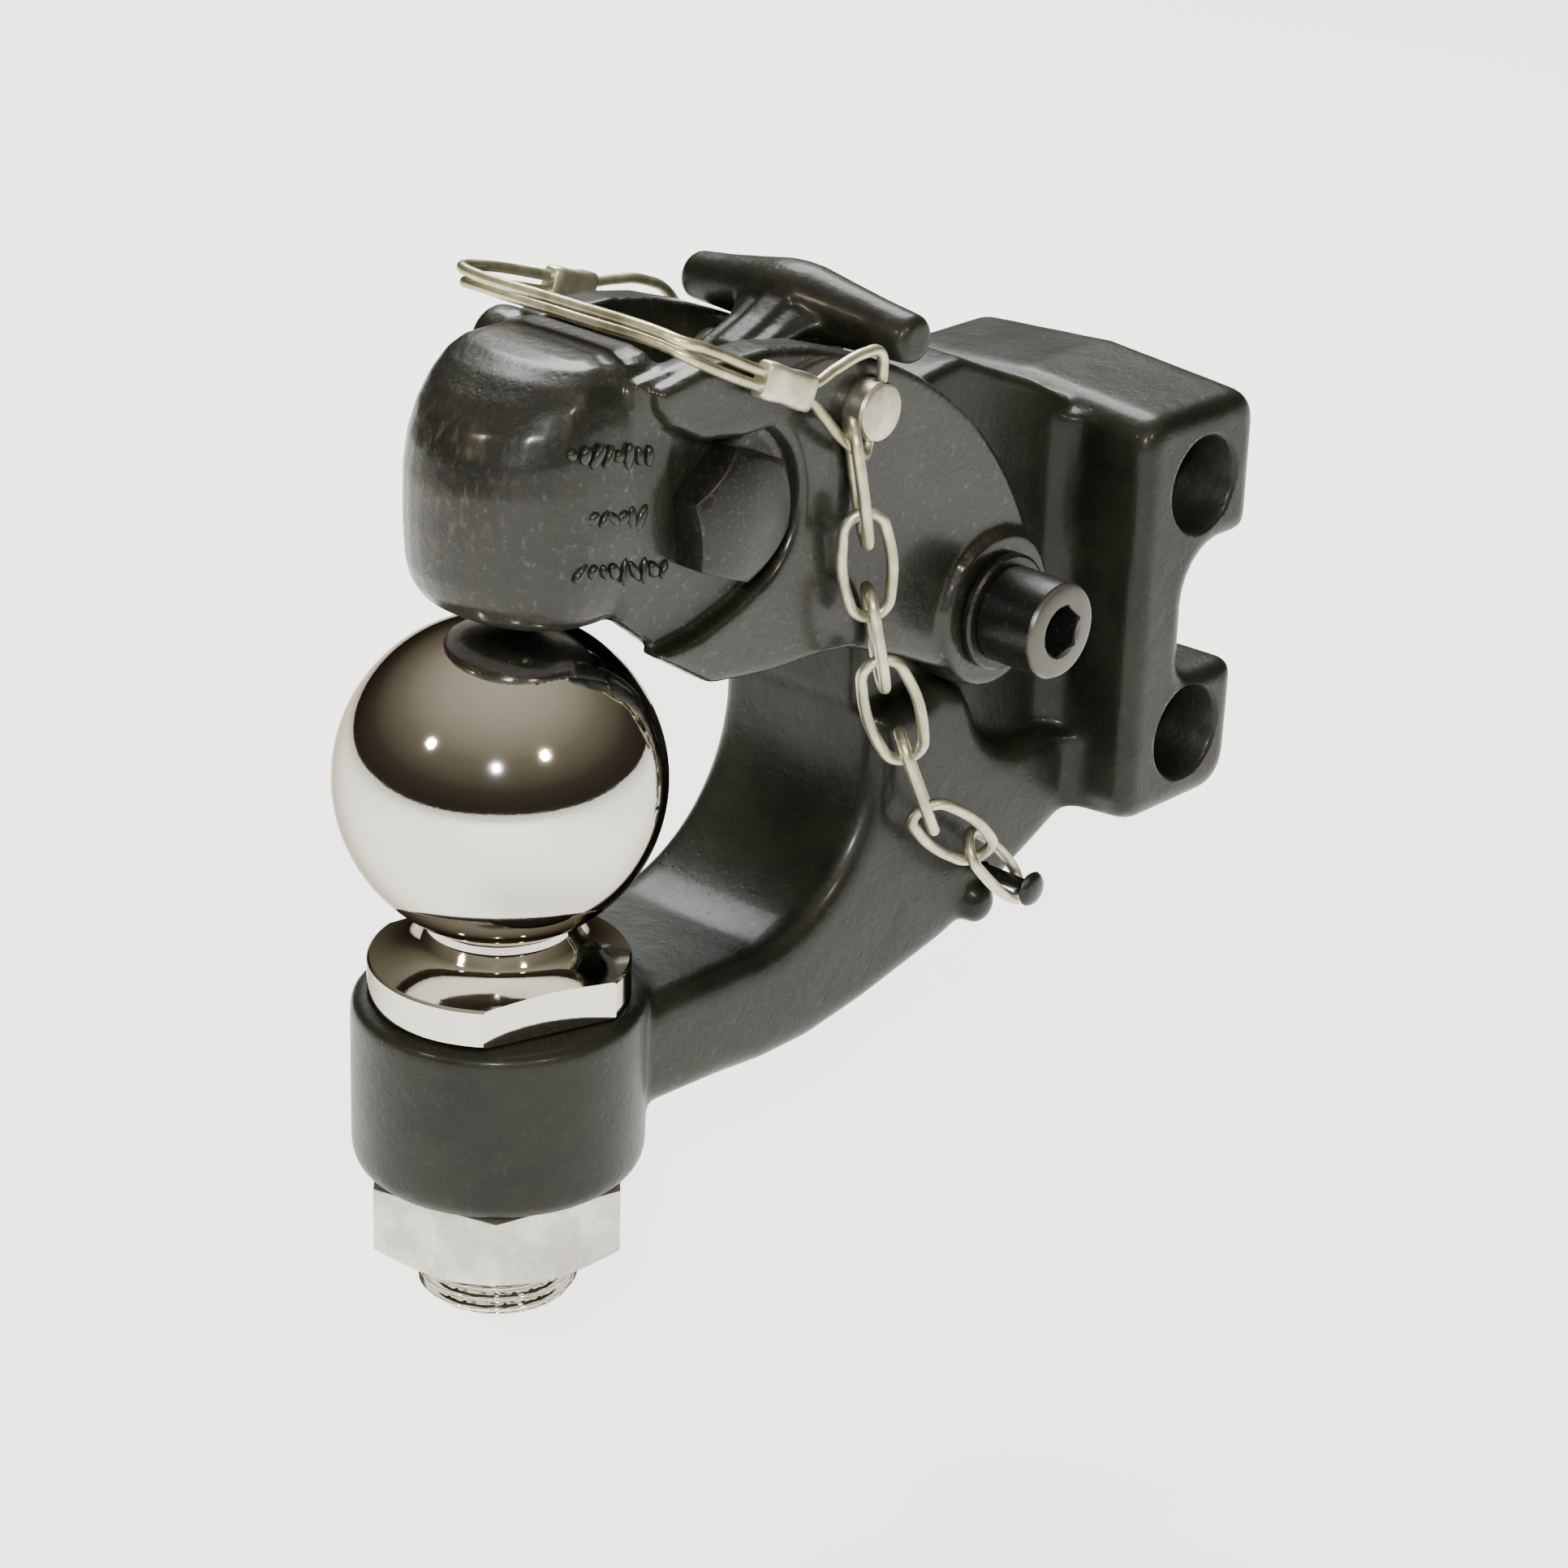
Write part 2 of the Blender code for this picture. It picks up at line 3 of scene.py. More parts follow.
import bmesh
import bpy
from mathutils import Matrix, Vector


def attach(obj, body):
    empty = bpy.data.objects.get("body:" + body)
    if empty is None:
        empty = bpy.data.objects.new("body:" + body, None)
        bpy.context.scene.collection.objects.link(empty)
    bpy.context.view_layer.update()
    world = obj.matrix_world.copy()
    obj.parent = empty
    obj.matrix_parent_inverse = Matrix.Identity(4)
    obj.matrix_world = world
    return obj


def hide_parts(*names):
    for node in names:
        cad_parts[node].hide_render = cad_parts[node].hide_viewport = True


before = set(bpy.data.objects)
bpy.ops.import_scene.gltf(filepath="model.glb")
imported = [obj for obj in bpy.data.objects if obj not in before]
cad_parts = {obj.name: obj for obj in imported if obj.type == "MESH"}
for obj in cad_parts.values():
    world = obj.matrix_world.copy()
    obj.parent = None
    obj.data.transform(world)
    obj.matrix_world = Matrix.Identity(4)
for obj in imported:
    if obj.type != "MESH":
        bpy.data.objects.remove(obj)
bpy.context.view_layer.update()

# ---------------------------------------------------------------- camera, floor and light
# A long lens looks down on the hitch from its front right corner. The hitch stands clear of a pale paper
# floor, under a large soft light from above, a small hard one in front and two warm lamps at the sides.
CAMERA_PLACE = (-0.53488, -0.41622, 0.25518)
CAMERA_ANGLES = (-48.23, 23.81, 2.01)
FLOOR_Z = -0.16

camera = bpy.data.objects.new("camera", bpy.data.cameras.new("camera"))
azimuth, elevation, roll = (math.radians(a) for a in CAMERA_ANGLES)
level = Vector((math.cos(azimuth), math.sin(azimuth), 0.0))
toward = Vector((math.sin(azimuth) * math.cos(elevation), -math.cos(azimuth) * math.cos(elevation),
                 math.sin(elevation)))
upright = toward.cross(level)
right = math.cos(roll) * level + math.sin(roll) * upright
up = math.cos(roll) * upright - math.sin(roll) * level
facing = Matrix((right, up, toward)).transposed().to_4x4()
camera.matrix_world = Matrix.Translation(CAMERA_PLACE) @ facing
camera.data.lens = 96.47
camera.data.sensor_width = 36.0
camera.data.clip_start = 0.01
bpy.context.scene.collection.objects.link(camera)
bpy.context.scene.camera = camera


class Socket:
    """One output of a shader or geometry node, with arithmetic on it."""

    def __init__(self, tree, socket):
        self.tree = tree
        self.socket = socket

    def maths(self, operation, *others, swap=False):
        node = self.tree.nodes.new("ShaderNodeMath")
        node.operation = operation
        values = [self, *others]
        if swap:
            values = values[::-1]
        for slot, value in zip(node.inputs, values):
            wire(self.tree, value, slot)
        return Socket(self.tree, node.outputs[0])

    def __add__(self, other):
        return self.maths("ADD", other)

    def __radd__(self, other):
        return self.maths("ADD", other, swap=True)

    def __rsub__(self, other):
        return self.maths("SUBTRACT", other, swap=True)

    def __mul__(self, other):
        return self.maths("MULTIPLY", other)

    def __rmul__(self, other):
        return self.maths("MULTIPLY", other, swap=True)

    def smooth(self, low, high):
        """0 below low, 1 above high, with a soft step between."""
        node = self.tree.nodes.new("ShaderNodeMapRange")
        node.interpolation_type = "SMOOTHSTEP"
        for slot, value in zip(node.inputs, (self, low, high, 0.0, 1.0)):
            wire(self.tree, value, slot)
        return Socket(self.tree, node.outputs[0])


def wire(tree, value, slot):
    if isinstance(value, Socket):
        tree.links.new(value.socket, slot)
    else:
        slot.default_value = value


class Nodes:
    """A material's node tree. make() adds a node and wires its inputs, by number in slots or by name."""

    def __init__(self, name):
        self.material = bpy.data.materials.new(name)
        self.material.use_nodes = True
        self.tree = self.material.node_tree
        self.shader = self.tree.nodes["Principled BSDF"]

    def make(self, kind, output=0, settings=None, slots=None, **inputs):
        node = self.tree.nodes.new("ShaderNode" + kind)
        for key, value in (settings or {}).items():
            setattr(node, key, value)
        for index, value in (slots or {}).items():
            wire(self.tree, value, node.inputs[index])
        for key, value in inputs.items():
            wire(self.tree, value, node.inputs[key.replace("_", " ")])
        return Socket(self.tree, node.outputs[output])

    def blend(self, amount, first, second):
        """A mix of two colours."""
        return self.make("Mix", 2, {"data_type": "RGBA"}, {0: amount, 6: first, 7: second})

    def finish(self, **inputs):
        for key, value in inputs.items():
            wire(self.tree, value, self.shader.inputs[key.replace("_", " ")])
        return self.material


def pale_floor():
    n = Nodes("floor_paper")
    place = n.make("TexCoord", output=3)
    grain = n.make("TexNoise", Vector=place, Scale=600.0, Detail=3.0)
    colour = n.blend(grain, (0.92, 0.92, 0.91, 1.0), (0.95, 0.95, 0.945, 1.0))
    bump = n.make("Bump", Height=grain, Strength=0.05, Distance=0.0004)
    return n.finish(Base_Color=colour, Roughness=0.8, Specular_IOR_Level=0.1, Normal=bump,
                    Emission_Color=colour, Emission_Strength=1.2)


bpy.ops.mesh.primitive_plane_add(size=8.0, location=(0.0, 0.0, FLOOR_Z))
floor = bpy.context.object
floor.name = "floor"
floor.data.materials.append(pale_floor())

world = bpy.data.worlds.new("studio")
bpy.context.scene.world = world
world.use_nodes = True
sky = world.node_tree
background = sky.nodes["Background"]
where = sky.nodes.new("ShaderNodeTexCoord")
split = sky.nodes.new("ShaderNodeSeparateXYZ")
ramp = sky.nodes.new("ShaderNodeValToRGB")
sky.links.new(where.outputs["Generated"], split.inputs[0])
sky.links.new(split.outputs["Z"], ramp.inputs[0])
sky.links.new(ramp.outputs["Color"], background.inputs["Color"])
bands = ramp.color_ramp.elements
bands[0].position = 0.0
bands[0].color = (0.030, 0.022, 0.015, 1.0)
bands[1].position = 1.0
bands[1].color = (0.50, 0.46, 0.38, 1.0)
for height, glow in ((0.22, (0.050, 0.042, 0.030, 1.0)), (0.55, (0.18, 0.155, 0.11, 1.0))):
    bands.new(height).color = glow
background.inputs["Strength"].default_value = 1.5


def lamp(name, location, target, size, watts, colour=(1.0, 1.0, 1.0)):
    light = bpy.data.lights.new(name, "AREA")
    light.shape = "DISK"
    light.size = size
    light.energy = watts
    light.color = colour
    obj = bpy.data.objects.new(name, light)
    obj.location = location
    obj.rotation_euler = (Vector(target) - Vector(location)).to_track_quat("-Z", "Y").to_euler()
    bpy.context.scene.collection.objects.link(obj)


hitch_middle = (-0.07, 0.0, 0.0)
warm_light = (1.0, 0.84, 0.62)
lamp("top_softbox", (0.60, 0.70, 1.25), hitch_middle, 1.0, 50.0)
lamp("key", (-0.98, -0.78, 0.66), hitch_middle, 0.08, 18.0)
lamp("left_lamp", (-1.35, 0.30, 0.85), hitch_middle, 0.15, 9.0, warm_light)
lamp("right_lamp", (-0.30, -1.24, 0.85), hitch_middle, 0.15, 9.0, warm_light)

# ---------------------------------------------------------------- base forging
# One black-painted steel drop forging: channel block, web, tongue, throat arm and ball boss. It is shaped
# from drafted, rounded slabs welded into one skin, then drilled. Profiles are in millimetres from the ball's
# centre.
MM = 0.001
REACH = 132.8                # ball's centre to the channel bolts
BOLT_RISE = 44.45 / 2        # channel bolts above and below the middle
BOLT_HOLE = 16.3
BLOCK_HALF = 29.4            # half of the block's width
PIVOT = (90.0, 0.0, 9.2)     # the jaw's pivot
STUD = (94.4, 0.0, -39.6)    # the chain's stud


def at_ball(x, y, z):
    return Vector((x - REACH, y, z)) * MM


def arc(cx, cz, radius, start, end, count):
    """Points on an arc, between two angles in degrees."""
    found = []
    for i in range(count + 1):
        a = math.radians(start + (end - start) * i / count)
        found.append((cx + radius * math.cos(a), cz + radius * math.sin(a)))
    return found


def grow(outline, amount):
    """The outline moved outward by an amount, along each corner's normal. A sharp corner moves less."""
    area = sum(a[0] * b[1] - b[0] * a[1] for a, b in zip(outline, outline[1:] + outline[:1]))
    sign = 1.0 if area > 0 else -1.0
    moved = []
    count = len(outline)
    for i, (x, z) in enumerate(outline):
        before = Vector(outline[i - 1])
        after = Vector(outline[(i + 1) % count])
        here = Vector((x, z))
        first = (here - before).normalized()
        second = (after - here).normalized()
        normal = Vector((first.y + second.y, -first.x - second.x)) * sign
        normal.normalize()
        square = max(0.55, normal.dot(Vector((first.y, -first.x)) * sign))
        moved.append((x + normal.x * amount / square, z + normal.y * amount / square))
    return moved


def loft(sections, place=at_ball):
    """A closed body through rings of points."""
    bm = bmesh.new()
    rings = [[bm.verts.new(place(*p)) for p in ring] for ring in sections]
    count = len(rings[0])
    for low_ring, high_ring in zip(rings, rings[1:]):
        for i in range(count):
            j = (i + 1) % count
            bm.faces.new((low_ring[i], low_ring[j], high_ring[j], high_ring[i]))
    for ring in (rings[0], rings[-1]):
        rim = [bm.edges.get((ring[i], ring[(i + 1) % count])) for i in range(count)]
        bmesh.ops.triangle_fill(bm, edges=rim, use_beauty=True)
    bmesh.ops.recalc_face_normals(bm, faces=bm.faces)
    mesh = bpy.data.meshes.new("loft")
    bm.to_mesh(mesh)
    bm.free()
    return mesh


def slab(outline, low_y, high_y, round_low=0.0, round_high=0.0, crown=0.0, steps=4):
    """A plate with an XZ outline, rounded rims, and top and bottom drafted out towards the middle plane."""
    sections = []
    reach = max(abs(low_y), abs(high_y))
    tall = max(abs(z) for x, z in outline)
    for end, radius, inward in ((low_y, round_low, 1.0), (high_y, round_high, -1.0)):
        rims = []
        for i in range(steps + 1 if radius else 1):
            a = math.pi / 2 * i / steps
            inset = radius * (1 - math.sin(a)) if radius else 0.0
            rims.append((end + inward * radius * (1 - math.cos(a)), inset))
        if inward < 0:
            rims.reverse()
            if low_y < 0 < high_y and crown:
                sections.append((0.0, 0.0))
        sections += rims
    rings = []
    for y, inset in sections:
        rise = 1 + crown * (1 - abs(y) / reach) / tall
        rings.append([(x, y, z * rise) for x, z in grow(outline, -inset)])
    return loft(rings)


def turned(profile, steps=96, at=(0.0, 0.0, 0.0), axis="Z"):
    """A (radius, height) profile turned about Z or Y through a point."""
    bm = bmesh.new()
    rings = []
    for radius, height in profile:
        ring = []
        for i in range(1 if radius < 1e-6 else steps):
            a = 2 * math.pi * i / steps
            p = (radius * math.cos(a), radius * math.sin(a), height)
            if axis == "Y":
                p = (p[0], p[2], -p[1])
            ring.append(bm.verts.new(at_ball(p[0] + at[0], p[1] + at[1], p[2] + at[2])))
        rings.append(ring)
    for one, two in zip(rings, rings[1:]):
        for i in range(steps):
            j = (i + 1) % steps
            if len(one) == 1:
                bm.faces.new((one[0], two[i], two[j]))
            elif len(two) == 1:
                bm.faces.new((one[i], one[j], two[0]))
            else:
                bm.faces.new((one[i], one[j], two[j], two[i]))
    for ring in (rings[0], rings[-1]):
        if len(ring) > 1:
            bm.faces.new(ring)
    bmesh.ops.recalc_face_normals(bm, faces=bm.faces)
    mesh = bpy.data.meshes.new("turned")
    bm.to_mesh(mesh)
    bm.free()
    return mesh


def add_object(name, mesh):
    obj = bpy.data.objects.new(name, mesh)
    bpy.context.scene.collection.objects.link(obj)
    return obj


def apply_modifiers(obj):
    graph = bpy.context.evaluated_depsgraph_get()
    mesh = bpy.data.meshes.new_from_object(obj.evaluated_get(graph))
    obj.modifiers.clear()
    obj.data = mesh
    return obj


def joined(name, meshes):
    bm = bmesh.new()
    for mesh in meshes:
        bm.from_mesh(mesh)
    whole = bpy.data.meshes.new(name)
    bm.to_mesh(whole)
    bm.free()
    return add_object(name, whole)


def skin(name, meshes, voxel=0.7, rounds=8):
    """Overlapping closed bodies become one body, with the soft edges of a forging."""
    obj = joined(name, meshes)
    remesh = obj.modifiers.new("skin", "REMESH")
    remesh.mode = "VOXEL"
    remesh.voxel_size = voxel * MM
    soften = obj.modifiers.new("soften", "SMOOTH")
    soften.factor = 0.5
    soften.iterations = rounds
    return apply_modifiers(obj)


def cut(obj, *meshes):
    """Machined holes and faces, cut from a body."""
    for mesh in meshes:
        cutter = add_object("cutter", mesh)
        tool = obj.modifiers.new("cut", "BOOLEAN")
        tool.operation = "DIFFERENCE"
        tool.solver = "MANIFOLD"
        tool.object = cutter
        apply_modifiers(obj)
        bpy.data.objects.remove(cutter)
    return obj


def shade(obj, angle=40.0):
    obj.data.shade_smooth()
    obj.data.set_sharp_from_angle(angle=math.radians(angle))
    return obj


def deliver(obj, body, slot, material, *nodes):
    """The finished piece takes its material, rides its body and stands for its CAD nodes."""
    obj.data.materials.clear()
    obj.data.materials.append(material)
    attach(obj, body)
    if nodes:
        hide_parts(*nodes)
    return obj


def forged_paint(name, wear_at=None, orange=0.12):
    """Black enamel over hammered scale, with an optional rubbed patch round a point."""
    n = Nodes(name)
    place = n.make("TexCoord", output=3)
    broad = n.make("TexNoise", Vector=place, Scale=70.0, Detail=4.0, Roughness=0.55)
    fine = n.make("TexNoise", Vector=place, Scale=800.0, Detail=5.0, Roughness=0.6)
    pits = n.make("TexVoronoi", Vector=place, Scale=480.0)
    speckle = fine.smooth(0.57, 0.70)
    black = n.blend(broad.smooth(0.35, 0.7), (0.0035, 0.0042, 0.0025, 1.0), (0.0095, 0.0108, 0.0062, 1.0))
    colour = n.blend(speckle * orange, black, (0.024, 0.025, 0.018, 1.0))
    rough = 0.30 + broad * 0.20 + fine * 0.10
    if wear_at is not None:
        gap = n.make("VectorMath", 1, {"operation": "DISTANCE"}, {0: place, 1: wear_at})
        streak = n.make("Mapping", Vector=place, Scale=(520.0, 900.0, 260.0))
        lines = n.make("TexNoise", Vector=streak, Scale=1.0, Detail=3.0)
        near = 1.0 - gap.smooth(0.003, 0.016)
        rubbed = near * lines.smooth(0.50, 0.74)
        colour = n.blend(rubbed * 0.55, colour, (0.085, 0.060, 0.036, 1.0))
        rough = rough + rubbed * 0.15
    height = broad * 0.9 + fine * orange + pits.smooth(0.0, 0.25) * 0.10
    bump = n.make("Bump", Height=height, Strength=0.5, Distance=0.0012)
    return n.finish(Base_Color=colour, Roughness=rough, Normal=bump, Specular_IOR_Level=0.16,
                    Coat_Weight=speckle * orange + orange, Coat_Roughness=0.18)


base_paint = forged_paint("base_paint")
block_outline = [(116.5, -31.0), (117.9, -34.2), (121.0, -35.5), (139.0, -35.5)]
block_outline += arc(139.6, -29.2, 6.3, -80.0, -4.0, 5)
block_outline += [(146.2, -15.4)] + arc(143.9, -14.5, 2.3, 10.0, 88.0, 3)
block_outline += [(135.0, -12.2)] + arc(134.2, -8.6, 3.6, -95.0, -175.0, 4)
block_outline += [(130.6, 1.4)] + arc(139.6, 1.6, 9.0, 178.0, 95.0, 6)
block_outline += [(143.4, 10.6)] + arc(144.2, 13.1, 2.5, -80.0, -4.0, 3)
block_outline += [(146.7, 30.0)] + arc(141.4, 30.7, 5.3, 4.0, 86.0, 5)
block_outline += [(122.0, 36.0)] + arc(121.8, 30.7, 5.3, 92.0, 176.0, 5)
pieces = [slab(block_outline, -BLOCK_HALF, BLOCK_HALF, 3.2, 3.2, 2.2, 5)]

arm_outline = [(8.0, -38.5), (19.0, -36.8), (30.0, -37.0)]
arm_outline += arc(38.5, -9.0, 28.3, -84.0, 0.0, 16)
arm_outline += [(66.9, -4.6), (76.4, -4.3)] + arc(90.0, 9.2, 14.3, 236.0, 264.0, 4)
arm_outline += [(90.6, -8.4)] + arc(104.6, -6.0, 13.8, 190.0, 262.0, 6)
arm_outline += [(112.0, -20.2), (121.0, -20.6), (121.0, -34.0), (114.0, -37.2), (108.0, -40.2)]
arm_outline += [(102.5, -42.8), (97.0, -45.6), (92.5, -47.8), (85.5, -50.2), (78.0, -52.0)]
arm_outline += [(66.0, -54.8), (52.7, -57.0), (42.0, -57.2), (31.7, -56.4), (14.0, -55.8), (8.0, -54.0)]
pieces.append(slab(arm_outline, -18.0, 18.0, 4.0, 4.0, 0.0, 5))

tongue_outline = [(74.0, -26.0), (68.2, -9.0), (66.8, -2.5), (66.8, 12.0), (65.9, 26.0), (64.6, 36.6)]
tongue_outline += [(69.0, 43.4)] + arc(90.0, 9.2, 40.0, 118.0, 90.0, 6)
tongue_outline += [(98.0, 45.6), (109.0, 41.0), (119.5, 35.4), (124.0, 30.0), (124.0, -28.0), (78.0, -34.0)]
pieces.append(slab(tongue_outline, -12.2, 12.2, 1.6, 1.6, 0.0, 3))


def fillet_column(low_z, high_z, half, wide, radius, front):
    """The concave fillet that carries a web out into the block's front face, on both sides."""
    ring = [(front + 3.0, wide)]
    ring += [(front - radius + radius * math.sin(a), half + radius - radius * math.cos(a))
             for a in (math.radians(90.0 - 15.0 * i) for i in range(7))]
    ring += [(x, -y) for x, y in reversed(ring)]
    return loft([[(x, y, z) for x, y in ring] for z in (low_z, high_z)])


pieces.append(fillet_column(-22.0, 34.6, 11.6, 20.0, 8.0, 117.2))
pieces.append(fillet_column(-34.4, -21.0, 17.0, 25.0, 7.0, 117.2))
keel_outline = [(12.0, -54.0), (17.0, -58.6), (23.0, -60.9), (38.0, -60.6), (47.0, -58.4), (56.0, -53.0)]
pieces.append(slab(keel_outline, -9.5, 9.5, 3.0, 3.0))
boss_profile = [(0.0, -64.3), (19.9, -64.3), (21.6, -63.7), (22.6, -62.4), (22.9, -60.8), (22.9, -37.2)]
boss_profile += [(22.5, -36.2), (21.5, -35.8), (0.0, -35.8)]
pieces.append(turned(boss_profile))
button = [(0.0, -20.6), (1.6, -20.4), (2.8, -19.8), (3.5, -18.9), (3.6, -17.0), (0.0, -17.0)]
pieces.append(turned(button, 32, (92.8, 0.0, -45.0), "Y"))
base = skin("base_skin", pieces, 0.7, 12)


def drill(diameter, half, at, chamfer=0.7):
    """A drill through a part of the given half width, with a countersink on both sides."""
    r = diameter / 2
    past = 4.0
    wide = r + chamfer + past
    profile = [(0.0, -half - past), (wide, -half - past), (r, -half + chamfer), (r, half - chamfer)]
    profile += [(wide, half + past), (0.0, half + past)]
    return turned(profile, 64, at, "Y")


cut(base, *[drill(BOLT_HOLE, BLOCK_HALF, (REACH, 0.0, z)) for z in (BOLT_RISE, -BOLT_RISE)])
cut(base, drill(13.3, 12.4, PIVOT, 0.3))
cut(base, turned([(0.0, -80.0), (13.0, -80.0), (13.0, -20.0), (0.0, -20.0)], 64))
stud_hole = [(0.0, -24.0), (1.5, -24.0), (1.5, -13.0), (0.0, -13.0)]
cut(base, turned(stud_hole, 24, STUD, "Y"))
shade(base, 50.0)
deliver(base, "base", "forging", base_paint, "base_forging")

# ---------------------------------------------------------------- tow ball
# Turned in one piece from steel and chrome plated: ball, necked collar, flared flange with two wrench flats,
# and a threaded shank that stands out below the nut.
def chrome(name):
    n = Nodes(name)
    place = n.make("TexCoord", output=3)
    haze = n.make("TexNoise", Vector=place, Scale=60.0, Detail=4.0)
    marks = n.make("TexNoise", Vector=place, Scale=2200.0, Detail=2.0)
    colour = n.blend(haze, (0.53, 0.52, 0.48, 1.0), (0.60, 0.59, 0.55, 1.0))
    bump = n.make("Bump", Height=marks, Strength=0.02, Distance=0.0002)
    shiny = n.finish(Base_Color=colour, Metallic=1.0, Roughness=0.03 + haze * 0.05, Normal=bump)
    n.shader.inputs["Specular Tint"].default_value = (0.40, 0.36, 0.30, 1.0)
    return shiny


BALL_R = 25.4
NECK_R = 11.15
ball_profile = [(0.0, BALL_R)]
for i in range(1, 49):
    a = math.radians(90.0 - i * (90.0 + 63.6) / 48)
    ball_profile.append((BALL_R * math.cos(a), BALL_R * math.sin(a)))
ball_profile += [(NECK_R, -23.1), (11.35, -24.2), (11.6, -24.45)]
for i in range(1, 10):
    a = math.radians(8.0 + 68.0 * i / 9)
    ball_profile.append((12.0 + 7.9 * (1 - math.cos(a)) / 0.758, -24.6 - 4.7 * math.sin(a) / 0.97))
ball_profile += [(20.1, -29.45), (20.3, -29.7), (20.3, -35.2), (20.0, -35.5), (12.4, -35.5)]
ball_profile += [(12.4, -78.0), (0.0, -78.0)]
ball = add_object("ball_skin", turned(ball_profile, 128))
for turn in (-107.0, 73.0):
    spin = Matrix.Translation(at_ball(0, 0, 0)) @ Matrix.Rotation(math.radians(turn), 4, "Z")
    flat = [(16.9, -20.0), (40.0, -20.0), (40.0, 20.0), (16.9, 20.0)]
    cut(ball, loft([[(x, y, z) for x, y in flat] for z in (-40.0, -24.6)],
                   lambda x, y, z: spin @ (Vector((x, y, z)) * MM)))
shade(ball, 28.0)
deliver(ball, "base", "ball", chrome("ball_chrome"), "tow_ball")

THREAD_PITCH = 1.814
THREAD_ROOT = 11.35
THREAD_CREST = 12.7
THREAD_TOP = -76.0
THREAD_LENGTH = 10.5
rows = 130
around = 96
bm = bmesh.new()
grid = []
for row in range(rows + 1):
    z = THREAD_TOP - THREAD_LENGTH * row / rows
    ring = []
    for i in range(around):
        phase = ((z / THREAD_PITCH) - i / around) % 1.0
        tooth = min(1.0, max(0.0, 1.28 - 2.1 * abs(phase - 0.5) * 2))
        radius = THREAD_ROOT + 1.3 * tooth
        radius = min(radius, THREAD_CREST - max(0.0, -85.2 - z))
        a = 2 * math.pi * i / around
        ring.append(bm.verts.new(at_ball(radius * math.cos(a), radius * math.sin(a), z)))
    grid.append(ring)
for one, two in zip(grid, grid[1:]):
    for i in range(around):
        bm.faces.new((one[i], two[i], two[(i + 1) % around], one[(i + 1) % around]))
bm.faces.new(grid[0])
bm.faces.new(grid[-1][::-1])
thread_mesh = bpy.data.meshes.new("thread")
bm.to_mesh(thread_mesh)
bm.free()
thread = shade(add_object("ball_thread", thread_mesh), 60.0)
deliver(thread, "base", "ball", chrome("thread_chrome"))

# ---------------------------------------------------------------- ball nut
# A bright zinc-plated hexagon jam nut, its corners turned off underneath. Screwed up the shank, it clamps the
# ball's flange down on the arm's boss.
def zinc(name, warm=0.0, rough=0.22):
    """Zinc plate: pale grey, a little yellow where warm, with fine scuffs."""
    n = Nodes(name)
    place = n.make("TexCoord", output=3)
    cloud = n.make("TexNoise", Vector=place, Scale=140.0, Detail=5.0, Roughness=0.6)
    scuff = n.make("TexNoise", Vector=place, Scale=1500.0, Detail=3.0)
    pale = (0.56 - 0.06 * warm, 0.56 - 0.07 * warm, 0.51 - 0.17 * warm, 1.0)
    dull = (0.36 - 0.08 * warm, 0.36 - 0.09 * warm, 0.31 - 0.15 * warm, 1.0)
    colour = n.blend(cloud.smooth(0.35, 0.65), dull, pale)
    bump = n.make("Bump", Height=scuff + cloud * 0.6, Strength=0.12, Distance=0.0003)
    return n.finish(Base_Color=colour, Metallic=0.92, Normal=bump,
                    Roughness=rough + cloud * 0.18 + scuff * 0.08)


def hexagon(name, flats, low, high, at, turn, axis, chamfer_low=False, chamfer_high=False, bore=0.0,
            soft=0.35):
    """A hexagon prism along Z or Y with turned-off corners, softened edges and an optional bore."""
    corner = flats / 2 / math.cos(math.pi / 6)

    def place(px, py, pz):
        if axis == "Y":
            return at_ball(at[0] + px, pz, at[2] + py)
        return at_ball(at[0] + px, py, at[2] + pz)

    turns = [turn + math.pi / 3 * i for i in range(6)]
    ring = [(corner * math.cos(a), corner * math.sin(a)) for a in turns]
    obj = add_object(name, loft([[(px, py, pz) for px, py in ring] for pz in (low, high)], place))
    rim = flats / 2 * 0.93
    slope = math.tan(math.radians(30.0))
    wide = corner + 2.0
    profile = [(0.0, low - 0.01)]
    if chamfer_low:
        profile += [(rim, low - 0.01), (wide, low + (wide - rim) * slope)]
    else:
        profile += [(wide, low - 0.01)]
    if chamfer_high:
        profile += [(wide, high - (wide - rim) * slope), (rim, high + 0.01)]
    else:
        profile += [(wide, high + 0.01)]
    profile += [(0.0, high + 0.01)]
    keep = add_object("keep", turned(profile, 96, at, axis))
    tool = obj.modifiers.new("keep", "BOOLEAN")
    tool.operation = "INTERSECT"
    tool.solver = "MANIFOLD"
    tool.object = keep
    apply_modifiers(obj)
    bpy.data.objects.remove(keep)
    if bore:
        r = bore / 2
        profile = [(0.0, low - 3.0), (r + 3.4, low - 3.0), (r, low + 0.8), (r, high - 0.8)]
        profile += [(r + 3.4, high + 3.0), (0.0, high + 3.0)]
        cut(obj, turned(profile, 64, at, axis))
    bevel = obj.modifiers.new("soft", "BEVEL")
    bevel.width = soft * MM
    bevel.segments = 2
    bevel.limit_method = "ANGLE"
    bevel.angle_limit = math.radians(32.0)
    return shade(apply_modifiers(obj), 38.0)


nut = hexagon("ball_nut_skin", 38.1, -77.6, -64.6, (0.0, 0.0, 0.0), math.radians(-135.0), "Z",
              chamfer_low=True, bore=25.9)
deliver(nut, "base", "plated", zinc("nut_zinc"), "ball_nut")

